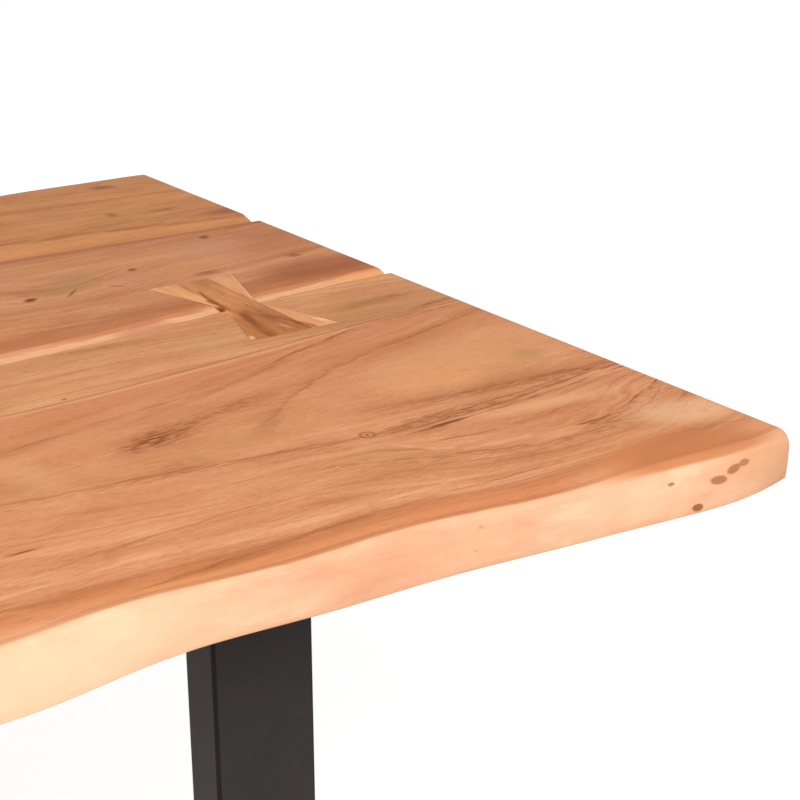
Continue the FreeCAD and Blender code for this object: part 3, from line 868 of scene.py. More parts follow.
# The sapwood of the live edges: warmer and paler zones, and small brown spots.
DARK_SPOT = "#a0613c"
SAPWOOD_SPOTS = {
    NEAR_SIDE: (
        StainOrHighlight((20, 0, 12), (75, 60, 34), "#df9c70", 0.5, core=0.3),
        StainOrHighlight((560, 0, 19), (215, 60, 40), "#f0caa4", 0.7, core=0.35),
        StainOrHighlight((160, 0, 18), (70, 60, 26), "#eec39c", 0.5, core=0.3),
        StainOrHighlight((330, 0, 22), (130, 60, 34), "#dd9b77", 0.5),
        StainOrHighlight((105, 0, 1.0), (85, 60, 4.5), "#dc8950", 0.5, core=0.5),
        StainOrHighlight((82, 0, 1.0), (84, 60, 5.6), "#c0764b", 0.72, core=0.5),
        StainOrHighlight((47.5, 0, 12.2), (6.2, 60, 3.0), DARK_SPOT, 0.7, lean=-4, core=0.6),
        StainOrHighlight((58, 0, 14.6), (8.4, 60, 3.5), DARK_SPOT, 0.8, lean=-11, core=0.6),
        StainOrHighlight((73, 0, 19.2), (9.2, 60, 3.5), DARK_SPOT, 0.8, lean=3, core=0.65),
        StainOrHighlight((114, 0, 14), (3.8, 60, 1.5), DARK_SPOT, 0.8, core=0.6),
        StainOrHighlight((95, 0, 33.6), (6.0, 60, 3.1), "#8a5633", 0.9, core=0.65),
        StainOrHighlight((270, 0, 9), (3.2, 60, 1.6), DARK_SPOT, 0.3, core=0.4),
        StainOrHighlight((275, 0, 24), (2.4, 60, 1.1), DARK_SPOT, 0.3, core=0.4),
        StainOrHighlight((820, 0, 20), (5.2, 60, 2.4), DARK_SPOT, 0.6, core=0.5),
        StainOrHighlight((1330, 0, 12), (6.0, 60, 2.2), DARK_SPOT, 0.6, core=0.5),
        StainOrHighlight((1352, 0, 16), (3.4, 60, 1.8), DARK_SPOT, 0.55, core=0.5),
        StainOrHighlight((1710, 0, 26), (4.6, 60, 2.4), DARK_SPOT, 0.65, core=0.5),
    ),
    FAR_SIDE: (
        StainOrHighlight((160, 1000, 18), (6.4, 60, 2.8), DARK_SPOT, 0.7, core=0.5),
        StainOrHighlight((640, 1000, 11), (5.0, 60, 2.0), DARK_SPOT, 0.6, core=0.5),
        StainOrHighlight((662, 1000, 15), (7.0, 60, 2.4), DARK_SPOT, 0.6, lean=-15, core=0.5),
        StainOrHighlight((1180, 1000, 24), (3.8, 60, 2.0), DARK_SPOT, 0.65, core=0.5),
        StainOrHighlight((1640, 1000, 14), (6.2, 60, 2.6), DARK_SPOT, 0.65, core=0.5),
    ),
}

# Colours that come up more than once in the figures.
KNOT = "#7d4219"
PATCH = "#98582f"
PALE = "#dc9c6c"
PALE_LINE = "#efba90"
OLIVE = "#b4854e"
BEVEL_LINE = "#9b5a35"
# Along the front live edge: a dull band, a warm one outside it and a thin dark line at the arris.
LIVE_STRIPS = (
    Strip(27, 20, 7, "#ad6139", 0.32, 9),
    Strip(17, 2, 8, "#df8c58", 0.46, 8),
    Strip(3.4, 0.8, 1.6, "#b4683a", 0.4, 2.5),
)

# The front slab: a fan of rings and a small knot near the right-hand end, a dark patch beyond them and
# long lines.
FRONT_FIGURE = Figure(
    tones=("#b26d42", "#c57f53", "#d28d62", "#dd9a6e", "#e8ab7f"),
    pith_line=(
        (0, 272), (102, 256), (177, 252), (240, 243), (327, 238), (440, 233), (500, 235), (700, 252),
        (950, 215), (1200, 240), (1500, 200), (1750, 225), (2000, 190),
    ),
    pith_depth=(
        (0, 60), (102, 80), (240, 100), (327, 112), (440, 124), (500, 131), (700, 150), (950, 95),
        (1100, 72), (1300, 110), (1600, 150), (1800, 118), (2000, 70),
    ),
    ring_chart=(
        (0, 0.5), (50, 0.58), (86, 0.6), (100, 0.5), (104, 0.36), (108, 0.4), (114, 0.52), (124, 0.54),
        (129, 0.4), (136, 0.5), (143, 0.52), (147, 0.42), (152, 0.54), (162, 0.56), (167, 0.44),
        (174, 0.52), (184, 0.6), (190, 0.48), (196, 0.62), (206, 0.66), (212, 0.52), (220, 0.46),
        (226, 0.36), (236, 0.5), (252, 0.6), (290, 0.5), (340, 0.55),
    ),
    swirls=(
        Swirl((128, 74, 0), (230, 92, 60), 46),
        Swirl((1040, 100, 0), (190, 80, 60), 40),
        Swirl((1620, 90, 0), (170, 76, 60), 38),
    ),
    lines=(
        GrainLineOrHighlight(((-40, 376), (121, 371), (150, 362), (200, 347), (260, 322)), 2.6, 0.65, -10, 0.5),
        GrainLineOrHighlight(
            ((200, 345), (240, 326), (290, 312), (359, 304), (409, 298), (452, 290), (500, 283)),
            2.2, 0.4, -10, 0.35,
        ),
        GrainLineOrHighlight(
            ((-60, 352), (2, 348), (52, 337), (102, 324), (140, 314), (177, 301), (209, 288), (234, 275),
             (265, 254), (290, 234), (320, 220)),
            3.0, 0.4, 12, 0.5,
        ),
        GrainLineOrHighlight(
            ((250, 162), (290, 167), (327, 174), (390, 186), (452, 194), (512, 203), (600, 214)),
            2.4, 0.45, -12, 0.45,
        ),
        GrainLineOrHighlight(((-60, 160), (2, 166), (52, 160), (115, 153), (171, 150), (240, 148)), 1.8, 0.75, 0.1, 0),
        GrainLineOrHighlight(((-60, 166), (2, 172), (80, 165), (140, 158), (190, 156), (265, 160)), 1.6, 0.7, 9, 0.7),
        GrainLineOrHighlight(((-40, 176), (70, 172), (140, 166), (200, 165), (262, 168)), 1.6, 0.5, 8, 0.6),
        GrainLineOrHighlight(
            ((-60, 176), (2, 180), (77, 188), (140, 194), (200, 203), (240, 208)), 4.0, 0.45, -16, 0.55,
        ),
        GrainLineOrHighlight(
            ((-60, 124), (2, 149), (52, 134), (102, 124), (152, 119), (202, 124), (240, 140)),
            1.5, 0.5, -5, 0.3,
        ),
        GrainLineOrHighlight(
            ((-30, 150), (15, 112), (59, 88), (109, 76), (165, 81), (202, 93), (234, 104), (265, 116),
             (302, 130), (340, 140)),
            1.7, 0.55, -16, 0.45, "#95562c",
        ),
        GrainLineOrHighlight(
            ((150, 96), (175, 97), (198, 101), (218, 110), (236, 124), (252, 146)),
            4.0, 0.45, 0.1, 0, PALE_LINE,
        ),
        GrainLineOrHighlight(((-30, 98), (0, 76), (24, 60), (60, 50)), 2.4, 0.45, 0.1, 0, PALE_LINE),
        GrainLineOrHighlight(
            ((-30, 142), (12, 123), (49, 106), (77, 95), (102, 91), (125, 92)), 1.5, 0.8, -12, 0.5, KNOT,
        ),
        GrainLineOrHighlight(
            ((130, 70), (200, 78), (260, 96), (340, 103), (390, 107), (452, 105), (549, 100), (640, 96)),
            2.0, 0.4, -14, 0.3, "#9a5a30",
        ),
        GrainLineOrHighlight(
            ((240, 62), (340, 66), (430, 70), (480, 82), (560, 82), (640, 78)), 3.5, 0.5, 0.1, 0, "#e9b085",
        ),
        GrainLineOrHighlight(
            ((-20, 24), (60, 36), (120, 42), (202, 46), (300, 52), (390, 50), (471, 46), (540, 40)),
            2.4, 0.5, 12, 0.3, "#9a5830",
        ),
        GrainLineOrHighlight(
            ((600, 220), (700, 232), (820, 268), (960, 300), (1080, 318), (1200, 310)), 2.6, 0.5, 12, 0.5,
        ),
        GrainLineOrHighlight(
            ((640, 150), (760, 128), (900, 140), (1010, 176), (1130, 190), (1260, 168)), 2.2, 0.6, 10, 0.6,
        ),
        GrainLineOrHighlight(((1200, 250), (1330, 238), (1450, 262), (1600, 330), (1700, 352)), 2.6, 0.5, -12, 0.5),
        GrainLineOrHighlight(
            ((1340, 130), (1480, 118), (1620, 142), (1760, 176), (1900, 168), (2040, 150)),
            2.2, 0.6, 10, 0.6,
        ),
        GrainLineOrHighlight(((1660, 250), (1760, 262), (1880, 292), (2040, 300)), 3.0, 0.45, 12, 0.5),
        GrainLineOrHighlight(((1000, 60), (1150, 72), (1290, 66), (1420, 80), (1560, 76)), 2.0, 0.5, -10, 0.4),
    ),
    stains_and_highlights=(
        StainOrHighlight((90, 258, 0), (165, 62, 40), PALE, 0.55, turn=-14, core=0.3),
        StainOrHighlight((140, 230, 0), (70, 30, 40), "#e19a63", 0.4, core=0.3),
        StainOrHighlight((480, 238, 0), (26, 40, 40), "#e0a87a", 0.45, turn=-15),
        StainOrHighlight((360, 254, 0), (110, 42, 40), "#a55f2d", 0.26, turn=-20, streaky=0.5),
        StainOrHighlight((372, 249, 0), (60, 24, 40), "#97531f", 0.85, turn=-16, core=0.2, streaky=0.6),
        StainOrHighlight((380, 245, 0), (38, 15, 30), "#7c3f16", 0.85, turn=-14, core=0.2, streaky=0.85),
        StainOrHighlight((305, 270, 0), (75, 15, 40), PATCH, 0.6, turn=-14, streaky=0.75),
        StainOrHighlight((386, 190, 0), (34, 24, 40), PATCH, 0.4, turn=10, streaky=0.6),
        StainOrHighlight((300, 222, 0), (34, 12, 30), PATCH, 0.4, turn=-35, streaky=0.4),
        StainOrHighlight((252, 165, 0), (7.8, 7.8, 60), KNOT, 0.7, core=0.6),
        StainOrHighlight((252, 165, 0), (5.4, 5.4, 60), "#d28d62", 0.85, core=0.6),
        StainOrHighlight((252, 165, 0), (2.2, 2.2, 60), KNOT, 0.8, core=0.4),
        StainOrHighlight((190, 163, 0), (75, 14, 30), PATCH, 0.75, turn=-2, core=0.3, streaky=0.75),
        StainOrHighlight((190, 150, 0), (24, 2.6, 20), "#693a19", 0.9, core=0.4),
        StainOrHighlight((95, 186, 0), (110, 14, 30), PATCH, 0.5, turn=6, core=0.3, streaky=0.5),
        StainOrHighlight((80, 84, 0), (80, 16, 20), PATCH, 0.45, turn=-6, streaky=0.6),
        StainOrHighlight((532, 131, 0), (18, 2.2, 20), KNOT, 0.8),
        StainOrHighlight((440, 46, 0), (60, 8, 20), PATCH, 0.6, streaky=0.3),
        StainOrHighlight((105, 138, 0), (100, 15, 30), "#e4a878", 0.75, turn=6),
        StainOrHighlight((30, 66, 0), (64, 34, 30), "#e8b188", 0.75, turn=20, core=0.3),
        StainOrHighlight((85, 9, 0), (170, 18, 5), "#b0643a", 0.26, turn=11, core=0.1),
        StainOrHighlight((45, 232, 0), (24, 18, 30), OLIVE, 0.5),
        StainOrHighlight((820, 300, 0), (11, 9, 60), KNOT, 0.75, core=0.5),
        StainOrHighlight((835, 296, 0), (70, 20, 40), PATCH, 0.55, streaky=0.5),
        StainOrHighlight((1290, 180, 0), (90, 22, 40), PATCH, 0.6, turn=10, streaky=0.7),
        StainOrHighlight((1530, 300, 0), (8, 7, 60), KNOT, 0.75, core=0.5),
        StainOrHighlight((1660, 240, 0), (160, 50, 40), PALE, 0.4),
        StainOrHighlight((1850, 140, 0), (12, 10, 60), KNOT, 0.7, core=0.5),
    ),
    near_strips=LIVE_STRIPS,
    far_strips=(Strip(3.5, -2, 2.5, "#eda97e", 0.7, 2.5), Strip(66, 8, 20, "#c47c50", 0.4, 6)),
    seed=11.0,
)

# The stave: the plainest and straightest grain of the four, paler along its groove.
STAVE_FIGURE = Figure(
    tones=("#ac7044", "#bd7d53", "#cb8a5f", "#d69868", "#e2a778"),
    pith_line=((0, 250), (400, 285), (900, 262), (1400, 290), (2000, 255)),
    pith_depth=((0, 60), (500, 74), (1100, 52), (1600, 78), (2000, 60)),
    ring_chart=(
        (0, 0.5), (90, 0.5), (104, 0.62), (118, 0.7), (132, 0.6), (140, 0.48), (150, 0.62), (168, 0.68),
        (176, 0.5), (190, 0.6), (230, 0.6),
    ),
    stains_and_highlights=(
        StainOrHighlight((60, 408, 0), (130, 50, 40), "#b47b4e", 0.6, turn=8),
        StainOrHighlight((24, 390, 0), (38, 6, 30), KNOT, 0.7, turn=-8, streaky=0.5),
        StainOrHighlight((60, 425, 0), (70, 12, 30), PATCH, 0.6, turn=-6, streaky=0.6),
        StainOrHighlight((240, 410, 0), (60, 30, 40), "#c9966a", 0.4),
        StainOrHighlight((330, 452, 0), (70, 9, 30), PATCH, 0.6, turn=4, streaky=0.5),
        StainOrHighlight((398, 358, 0), (3.2, 2.6, 20), KNOT, 0.8),
        StainOrHighlight((760, 420, 0), (9, 8, 60), KNOT, 0.75, core=0.5),
        StainOrHighlight((1240, 400, 0), (120, 26, 40), OLIVE, 0.35),
        StainOrHighlight((1580, 430, 0), (80, 10, 40), PATCH, 0.5, streaky=0.5),
    ),
    near_strips=(Strip(2.6, -1, 1.8, "#95582f", 0.42, 2),),
    far_strips=(
        Strip(3, -6, 2, "#dd9c6e", 0.5, 1.5),
        Strip(1.2, -0.8, 1.0, "#a4633a", 0.45, 1.0),
    ),
    seed=37.0,
)

# The middle board: small knots, and darker wood at the right-hand end.
MIDDLE_FIGURE = Figure(
    tones=("#aa673c", "#ba774b", "#c7865b", "#d19268", "#dca179"),
    pith_line=(
        (0, 800), (260, 780), (520, 800), (760, 700), (1000, 650), (1300, 600), (1650, 560), (2000, 540),
    ),
    pith_depth=((0, 110), (300, 100), (600, 110), (900, 130), (1250, 80), (1650, 120), (2000, 90)),
    ring_chart=(
        (0, 0.5), (60, 0.55), (78, 0.45), (90, 0.56), (108, 0.6), (116, 0.45), (128, 0.56), (150, 0.5),
        (165, 0.4), (180, 0.52), (220, 0.5),
    ),
    swirls=(Swirl((275, 615, 0), (130, 60, 60), 20), Swirl((1180, 640, 0), (140, 60, 60), 40)),
    stains_and_highlights=(
        StainOrHighlight((40, 545, 0), (110, 44, 40), "#9a5531", 0.75, core=0.3),
        StainOrHighlight((30, 660, 0), (120, 70, 40), "#ab6340", 0.5),
        StainOrHighlight((265, 630, 0), (60, 28, 40), "#a4834f", 0.5, turn=-35),
        StainOrHighlight((400, 640, 0), (110, 40, 40), "#bd8d5c", 0.45),
        StainOrHighlight((250, 672, 0), (120, 12, 40), "#cf9670", 0.5),
        StainOrHighlight((82, 704, 0), (8.5, 7, 60), KNOT, 0.85, turn=-30, core=0.3),
        StainOrHighlight((196, 641, 0), (7.5, 6, 60), KNOT, 0.85, turn=-30, core=0.3),
        StainOrHighlight((315, 607, 0), (9.5, 6.5, 60), "#5a3014", 0.95, turn=-20, core=0.3),
        StainOrHighlight((43, 594, 0), (12, 10, 60), KNOT, 0.65, turn=20),
        StainOrHighlight((275, 605, 0), (20, 3.0, 30), KNOT, 0.7, turn=-48),
        StainOrHighlight((232, 601, 0), (14, 3.0, 30), KNOT, 0.5, turn=50),
        StainOrHighlight((143, 590, 0), (20, 9, 30), "#85492a", 0.6),
        StainOrHighlight((100, 665, 0), (80, 40, 40), "#d29a78", 0.4),
        # painted highlight on the front groove's rear wall, brighter and duller in places
        StainOrHighlight((262, 480, 4), (44, 12, 20), "#bd7d62", 0.6, core=0.4),
        StainOrHighlight((207, 480, 4), (24, 8, 20), "#ffe2c4", 0.8, core=0.4),
        StainOrHighlight((375, 478, 4), (80, 10, 20), "#dea27c", 0.5, core=0.4),
        StainOrHighlight((20, 504, 0), (45, 8, 20), "#e8a066", 0.7, core=0.4),
        StainOrHighlight((560, 680, 0), (8, 6, 60), KNOT, 0.7),
        StainOrHighlight((905, 590, 0), (9, 7, 60), KNOT, 0.75),
        StainOrHighlight((1010, 610, 0), (120, 36, 40), PATCH, 0.4, streaky=0.4),
        StainOrHighlight((1420, 690, 0), (7, 6, 60), KNOT, 0.75),
        StainOrHighlight((1730, 560, 0), (140, 44, 40), OLIVE, 0.35),
        StainOrHighlight((1790, 640, 0), (9, 7, 60), KNOT, 0.7),
    ),
    near_strips=(
        Strip(26, 1, 18, "#a5603a", 0.5, 7),
        Strip(1, -5, 3, "#cf885f", 0.6, 2.5),
        # painted highlight along the lower part of the groove's rear wall
        Strip(-5.5, -17, 3, "#f2bd92", 0.6, 3),
    ),
    # the first strip is painted shade along the rear groove's front arris, the second a darker band on the
    # top
    far_strips=(Strip(7, -7, 5, "#8f5530", 0.6, 6), Strip(24, 4, 12, "#b06c45", 0.4, 8)),
    seed=71.0,
)

# The rear slab: browner wood, with dark lines beside its groove.
REAR_FIGURE = Figure(
    tones=("#a46636", "#b57543", "#c38351", "#ce8f5d", "#d99e6e"),
    pith_line=(
        (0, 1020), (300, 1000), (600, 1010), (850, 930), (1100, 905), (1450, 940), (1750, 890), (2000, 915),
    ),
    pith_depth=((0, 90), (300, 120), (650, 80), (1000, 62), (1350, 110), (1700, 84), (2000, 120)),
    ring_chart=(
        (0, 0.5), (60, 0.52), (80, 0.44), (92, 0.58), (110, 0.48), (120, 0.4), (134, 0.56), (152, 0.46),
        (166, 0.6), (190, 0.5), (230, 0.5),
    ),
    stains_and_highlights=(
        StainOrHighlight((70, 960, 0), (24, 15, 60), KNOT, 0.65, turn=10),
        StainOrHighlight((118, 841, 0), (10, 12, 60), KNOT, 0.55),
        StainOrHighlight((62, 829, 0), (26, 9, 60), KNOT, 0.45),
        StainOrHighlight((150, 905, 0), (120, 16, 40), PATCH, 0.45, turn=5, streaky=0.5),
        StainOrHighlight((0, 786, 0), (60, 22, 40), "#8e5137", 0.75, turn=-4, core=0.2),
        StainOrHighlight((520, 900, 0), (12, 9, 60), KNOT, 0.7),
        StainOrHighlight((860, 820, 0), (130, 24, 40), OLIVE, 0.35),
        StainOrHighlight((1150, 930, 0), (13, 10, 60), KNOT, 0.7),
        StainOrHighlight((1500, 830, 0), (9, 7, 60), KNOT, 0.7),
        StainOrHighlight((1830, 900, 0), (140, 30, 40), PATCH, 0.4, streaky=0.5),
    ),
    lines=(
        GrainLineOrHighlight(
            ((-60, 762), (0, 765), (50, 769), (100, 774), (150, 783), (200, 790), (260, 794), (340, 800)),
            9.0, 0.6, 22, 0.35, BEVEL_LINE, 2.5,
        ),
        GrainLineOrHighlight(
            ((-60, 744), (0, 746), (120, 751), (260, 757), (420, 762)), 3.0, 0.4, 0.1, 0, "#b9764b", 2.0,
        ),
        GrainLineOrHighlight(
            ((300, 800), (520, 792), (760, 786), (1000, 794), (1300, 782)), 8.0, 0.5, 16, 0.3, BEVEL_LINE,
        ),
    ),
    near_strips=(
        Strip(4, -16, 7, "#cf9062", 0.5, 6),
        # painted shade that darkens the wall towards the groove's root, and a painted shadow line at the
        # root
        Strip(-15, -28, 5, "#be7c55", 0.55, 5),
        Strip(-28.5, -33, 1.5, "#9a5a38", 0.5, 1.5),
    ),
    far_strips=(Strip(9, -3, 5, "#c98653", 0.4, 5),),
    seed=113.0,
)

# The keys' dark grain, and painted highlights along the slanting sides of the rear half. Their courses are
# distances from a key's middle, towards the rear and to the right.
KEY_LINES_AND_HIGHLIGHTS = (
    GrainLineOrHighlight(((-10, -17), (15, -16), (34, -14), (62, -10)), 2.6, 0.8, 5, 0.5, "#84491f", 2.0),
    GrainLineOrHighlight(((-18, -15), (0, -16), (16, -16), (34, -15)), 5.5, 0.75, 8, 0.5, "#84491f", 2.5),
    GrainLineOrHighlight(((-95, -22), (-70, -20), (-42, -15), (-12, -8)), 7.0, 0.85, 10, 0.7, "#834820", 4.0),
    GrainLineOrHighlight(((-95, 22), (-78, 19), (-60, 12), (-42, 5), (-25, -3)), 4.2, 0.9, -9, 0.8, "#7a431f", 5.0),
    GrainLineOrHighlight(((-88, -9), (-74, -3), (-58, -1), (-44, -7)), 2.4, 0.8, 5, 0.6, "#85502a", 3.5),
    GrainLineOrHighlight(((-92, 8), (-76, 6), (-58, 2), (-40, -2), (-20, 2), (6, 4)), 2.2, 0.7, 6, 0.6, "#8a5129", 4.0),
    GrainLineOrHighlight(((-60, 6), (-30, 9), (0, 10), (30, 7), (60, 9)), 1.4, 0.4, 3, 0.3, "#985c34", 2.0),
    # painted highlights along the slanting sides of the rear half
    GrainLineOrHighlight(((4, 15.6), (92, 42.6)), 2.4, 0.55, 0.1, 0, "#f0b07a", 0.6),
    GrainLineOrHighlight(((4, -15.6), (92, -42.6)), 2.4, 0.5, 0.1, 0, "#e6a472", 0.6),
)
# Paler places on the keys, the first two painted highlights on the front ears' tips, by their distances
# from a key's middle to the right, towards the rear and up.
KEY_TIPS_AND_HIGHLIGHTS = (
    # painted highlights on the tips of the front ears
    StainOrHighlight((37, -76, 0), (5, 15, 30), "#f7c79c", 0.8, turn=24, core=0.3),
    StainOrHighlight((-39, -84, 0), (4, 8, 30), "#eab486", 0.7, turn=-24, core=0.3),
    StainOrHighlight((29, 64, 0), (12, 34, 30), "#f0a76c", 0.45, turn=-18, core=0.3),
    StainOrHighlight((1, -72, 0), (4.5, 15, 30), "#dc9b64", 0.6, turn=12, core=0.2),
)


@dataclass(frozen=True)
class KeyWood:
    """Oiled acacia cut along the key, so that its grain crosses the boards'.

    A darker heart runs the key's whole length at the width of its waist, and the four ears outside it are
    paler. The grain twists towards the front end and turns dark and streaky there.

    Attributes:
        name: The finish's name.
        centre: The key's middle, in metres.
        half_thickness: Half its thickness, in mm.
        waist: Its width at the waist, in mm.
        seed: Where in the noise the key is cut from; an odd one is cut from the plank the other way up.
    """

    name: str
    centre: Vector
    half_thickness: float
    waist: float
    seed: int

    # Width and length of its streaks and of its fibres, in mm.
    STREAK = (7.0, 60.0)
    FIBRE = (1.6, 14.0)
    # Distances from the key's middle, towards the rear, between which the dark front end sets in, in mm.
    FRONT_END = (10.0, -38.0)
    # Depth of the raised grain, in mm.
    GRAIN_DEPTH = 0.2

    def build(self) -> Material:
        """Builds the material.

        Returns:
            The finished material.
        """
        material, tree = new_material(self.name)
        where = add(tree, "TexCoord")
        flip = -1 if self.seed % 2 else 1
        local = add(
            tree, "Mapping",
            {"Vector": where.outputs["Object"], "Location": self.centre, "Scale": (flip * MM, MM, MM)},
            vector_type="TEXTURE",
        )
        sides = add(tree, "SeparateXYZ", {0: local})
        along_key = add(
            tree, "CombineXYZ",
            {"X": sides.outputs["Y"], "Y": sides.outputs["X"], "Z": sides.outputs["Z"]},
        )
        parts = add(tree, "SeparateXYZ", {0: along_key})
        streaks = drawn_out(tree, along_key, self.STREAK, 3.0, self.seed)
        fibres = drawn_out(tree, along_key, self.FIBRE, 2.0, self.seed)
        both = add(tree, "Math", {0: fibres, 1: 0.5, 2: streaks}, operation="MULTIPLY_ADD")
        start, full = self.FRONT_END
        towards_front = add(
            tree, "MapRange",
            {"Value": sides.outputs["Y"], "From Min": start, "From Max": full, "To Max": 0.6},
            interpolation_type="SMOOTHSTEP",
        )
        heart = add(tree, "ValToRGB", {"Fac": both})
        fill_ramp(heart, [(0.55, linear("#b9733f")), (0.75, linear("#c9824e")), (0.95, linear("#d48f5c"))])
        colour = add(
            tree, "Mix", {"Factor": towards_front, "A": heart, "B": linear("#9c5c31")}, data_type="RGBA"
        )
        aside = add(tree, "Math", {0: sides.outputs["X"]}, operation="ABSOLUTE")
        ear = add(
            tree, "MapRange",
            {"Value": aside, "From Min": self.waist / 2 - 0.5, "From Max": self.waist / 2 + 1.0},
        )
        # the front end's left-hand ear is hardly paler than the heart
        left = add(
            tree, "MapRange", {"Value": sides.outputs["X"], "From Min": 2.0, "From Max": -2.0, "To Max": 1.6}
        )
        duller = add(tree, "Math", {0: left, 1: towards_front}, operation="MULTIPLY")
        paler = add(tree, "Math", {0: 1.0, 1: duller}, operation="SUBTRACT", use_clamp=True)
        ear = add(tree, "Math", {0: ear, 1: paler}, operation="MULTIPLY")
        pale = add(tree, "ValToRGB", {"Fac": both})
        fill_ramp(pale, [(0.55, linear("#dc945f")), (0.95, linear("#e8a673"))])
        colour = add(tree, "Mix", {"Factor": ear, "A": colour, "B": pale}, data_type="RGBA")
        stray, breaks, flecks = line_noises(tree, along_key, 2.0, self.seed)
        for line in KEY_LINES_AND_HIGHLIGHTS:
            colour = line.paint(tree, parts, colour, stray, breaks, flecks)
        for tip in KEY_TIPS_AND_HIGHLIGHTS:
            colour = tip.paint(tree, local, colour, flecks)
        # painted shade: the sides, which show only where the key crosses its seam, are darkened as if shaded
        # in the groove
        depth = add(tree, "Math", {0: self.half_thickness, 1: sides.outputs["Z"]}, operation="SUBTRACT")
        side = add(tree, "MapRange", {"Value": depth, "From Min": 0.6, "From Max": 1.6, "To Max": 0.85})
        colour = add(tree, "Mix", {"Factor": side, "A": colour, "B": linear("#74401f")}, data_type="RGBA")
        bump = add(tree, "Bump", {"Strength": 0.3, "Distance": self.GRAIN_DEPTH * MM, "Height": fibres})
        shader = add(
            tree, "BsdfPrincipled",
            {"Base Color": colour, "Roughness": 0.55, "Normal": bump, "Specular IOR Level": WOOD_GLOSS},
        )
        add(tree, "OutputMaterial", {"Surface": shader})
        return material


@dataclass(frozen=True)
class Coating:
    """A finish that is the same all over but for its fine grain and, on tubes, painted shade along the
    corners.

    Attributes:
        name: The finish's name.
        colours: The two colours that it varies between, as sRGB hex.
        grain: Size of its grain, in mm.
        roughness: Lowest and highest roughness.
        relief: Height of its grain, in mm.
        metallic: 1 for bare metal.
        gloss: Specular level.
        corner_axes: The two axes that a tube's faces look along, for painted shade along the rounded
            corners between them.
    """

    name: str
    colours: tuple[str, str]
    grain: float
    roughness: Pair
    relief: float
    metallic: float = 0.0
    gloss: float = 0.4
    corner_axes: str = ""

    # Size of the slow drift that wear and dust make, about a hand's breadth, in mm.
    WEAR = 111.1
    # Painted shade: the dark line that a tube's rounded corners show.
    CORNER_SHADE = "#0e0a09"

    def build(self) -> Material:
        """Builds the material.

        Returns:
            The finished material.
        """
        material, tree = new_material(self.name)
        where = add(tree, "TexCoord")
        fine = add(
            tree, "TexNoise",
            {"Vector": where.outputs["Object"], "Scale": 1 / (self.grain * MM), "Detail": 2.0},
        )
        slow = add(
            tree, "TexNoise",
            {"Vector": where.outputs["Object"], "Scale": 1 / (self.WEAR * MM), "Detail": 3.0,
             "Roughness": 0.6},
        )
        both = add(tree, "Math", {0: fine, 1: 0.35, 2: slow}, operation="MULTIPLY_ADD")
        colour = add(tree, "ValToRGB", {"Fac": both})
        fill_ramp(colour, [(0.5, linear(self.colours[0])), (0.85, linear(self.colours[1]))])
        if self.corner_axes:
            colour = self.paint_corner_shade(tree, where.outputs["Normal"], colour)
        rough = add(
            tree, "MapRange",
            {"Value": slow, "From Min": 0.3, "From Max": 0.7,
             "To Min": self.roughness[0], "To Max": self.roughness[1]},
        )
        bump = add(tree, "Bump", {"Strength": 0.6, "Distance": self.relief * MM, "Height": fine})
        shader = add(
            tree, "BsdfPrincipled",
            {"Base Color": colour, "Roughness": rough, "Metallic": self.metallic, "Normal": bump,
             "Specular IOR Level": self.gloss},
        )
        add(tree, "OutputMaterial", {"Surface": shader})
        return material

    def paint_corner_shade(self, tree: Tree, normal: Socket, colour: Node) -> Node:
        """Paints shade on the coat where the surface turns from one axis to the other.

        Args:
            tree: The material's node tree.
            normal: The way the surface faces, in the object's own axes.
            colour: The coat's colour.

        Returns:
            The node that gives the colour with dark corners.
        """
        sides = add(tree, "SeparateXYZ", {0: normal})
        first, second = (
            add(tree, "Math", {0: sides.outputs[axis]}, operation="ABSOLUTE") for axis in self.corner_axes
        )
        turning = add(tree, "Math", {0: first, 1: second}, operation="MINIMUM")
        share = add(tree, "MapRange", {"Value": turning, "From Min": 0.05, "From Max": 0.3, "To Max": 0.95})
        return add(
            tree, "Mix", {"Factor": share, "A": colour, "B": linear(self.CORNER_SHADE)}, data_type="RGBA"
        )


# Polyester powder baked on steel: matt black with a faint orange peel that breaks up its reflections.
POWDER_COAT = Coating(
    "matt_black_powder_coat", ("#2a2625", "#332e2d"), grain=1.4, roughness=(0.5, 0.62), relief=0.05,
    gloss=0.14,
)
# Bright zinc plate: a cool, slightly cloudy grey metal.
ZINC = Coating(
    "bright_zinc_plate", ("#b4b7bb", "#cfd2d5"), grain=0.8, roughness=(0.26, 0.4), relief=0.01, metallic=1.0
)
# Moulded nylon: near black, dull, with a fine moulded grain.
NYLON = Coating(
    "black_moulded_nylon", ("#222226", "#2d2d31"), grain=0.5, roughness=(0.5, 0.66), relief=0.03
)
# Beech, unfinished: pale pinkish straw with fine flecks.
BEECH = Coating(
    "unfinished_beech", ("#cda67b", "#dfbc93"), grain=1.2, roughness=(0.6, 0.72), relief=0.03
)


# ---------------------------------------------------------------------------------------------
# Modelling helpers
# ---------------------------------------------------------------------------------------------


def deselect() -> None:
    """Deselects every object."""
    bpy.ops.object.select_all(action="DESELECT")


def name_new(name: str) -> Piece:
    """Names the object that an operator has just added and puts its place into its mesh.

    Args:
        name: The name that it gets.

    Returns:
        The object.
    """
    piece = bpy.context.active_object
    piece.name = name
    piece.data.name = name
    bpy.ops.object.transform_apply(location=True, rotation=True, scale=True)
    return piece


def deselect_mesh() -> None:
    """Deselects all of the active object's mesh and sets edges as what is selected in it."""
    bpy.context.tool_settings.mesh_select_mode = (False, True, False)
    bpy.ops.object.mode_set(mode="EDIT")
    bpy.ops.mesh.select_all(action="DESELECT")
    bpy.ops.object.mode_set(mode="OBJECT")


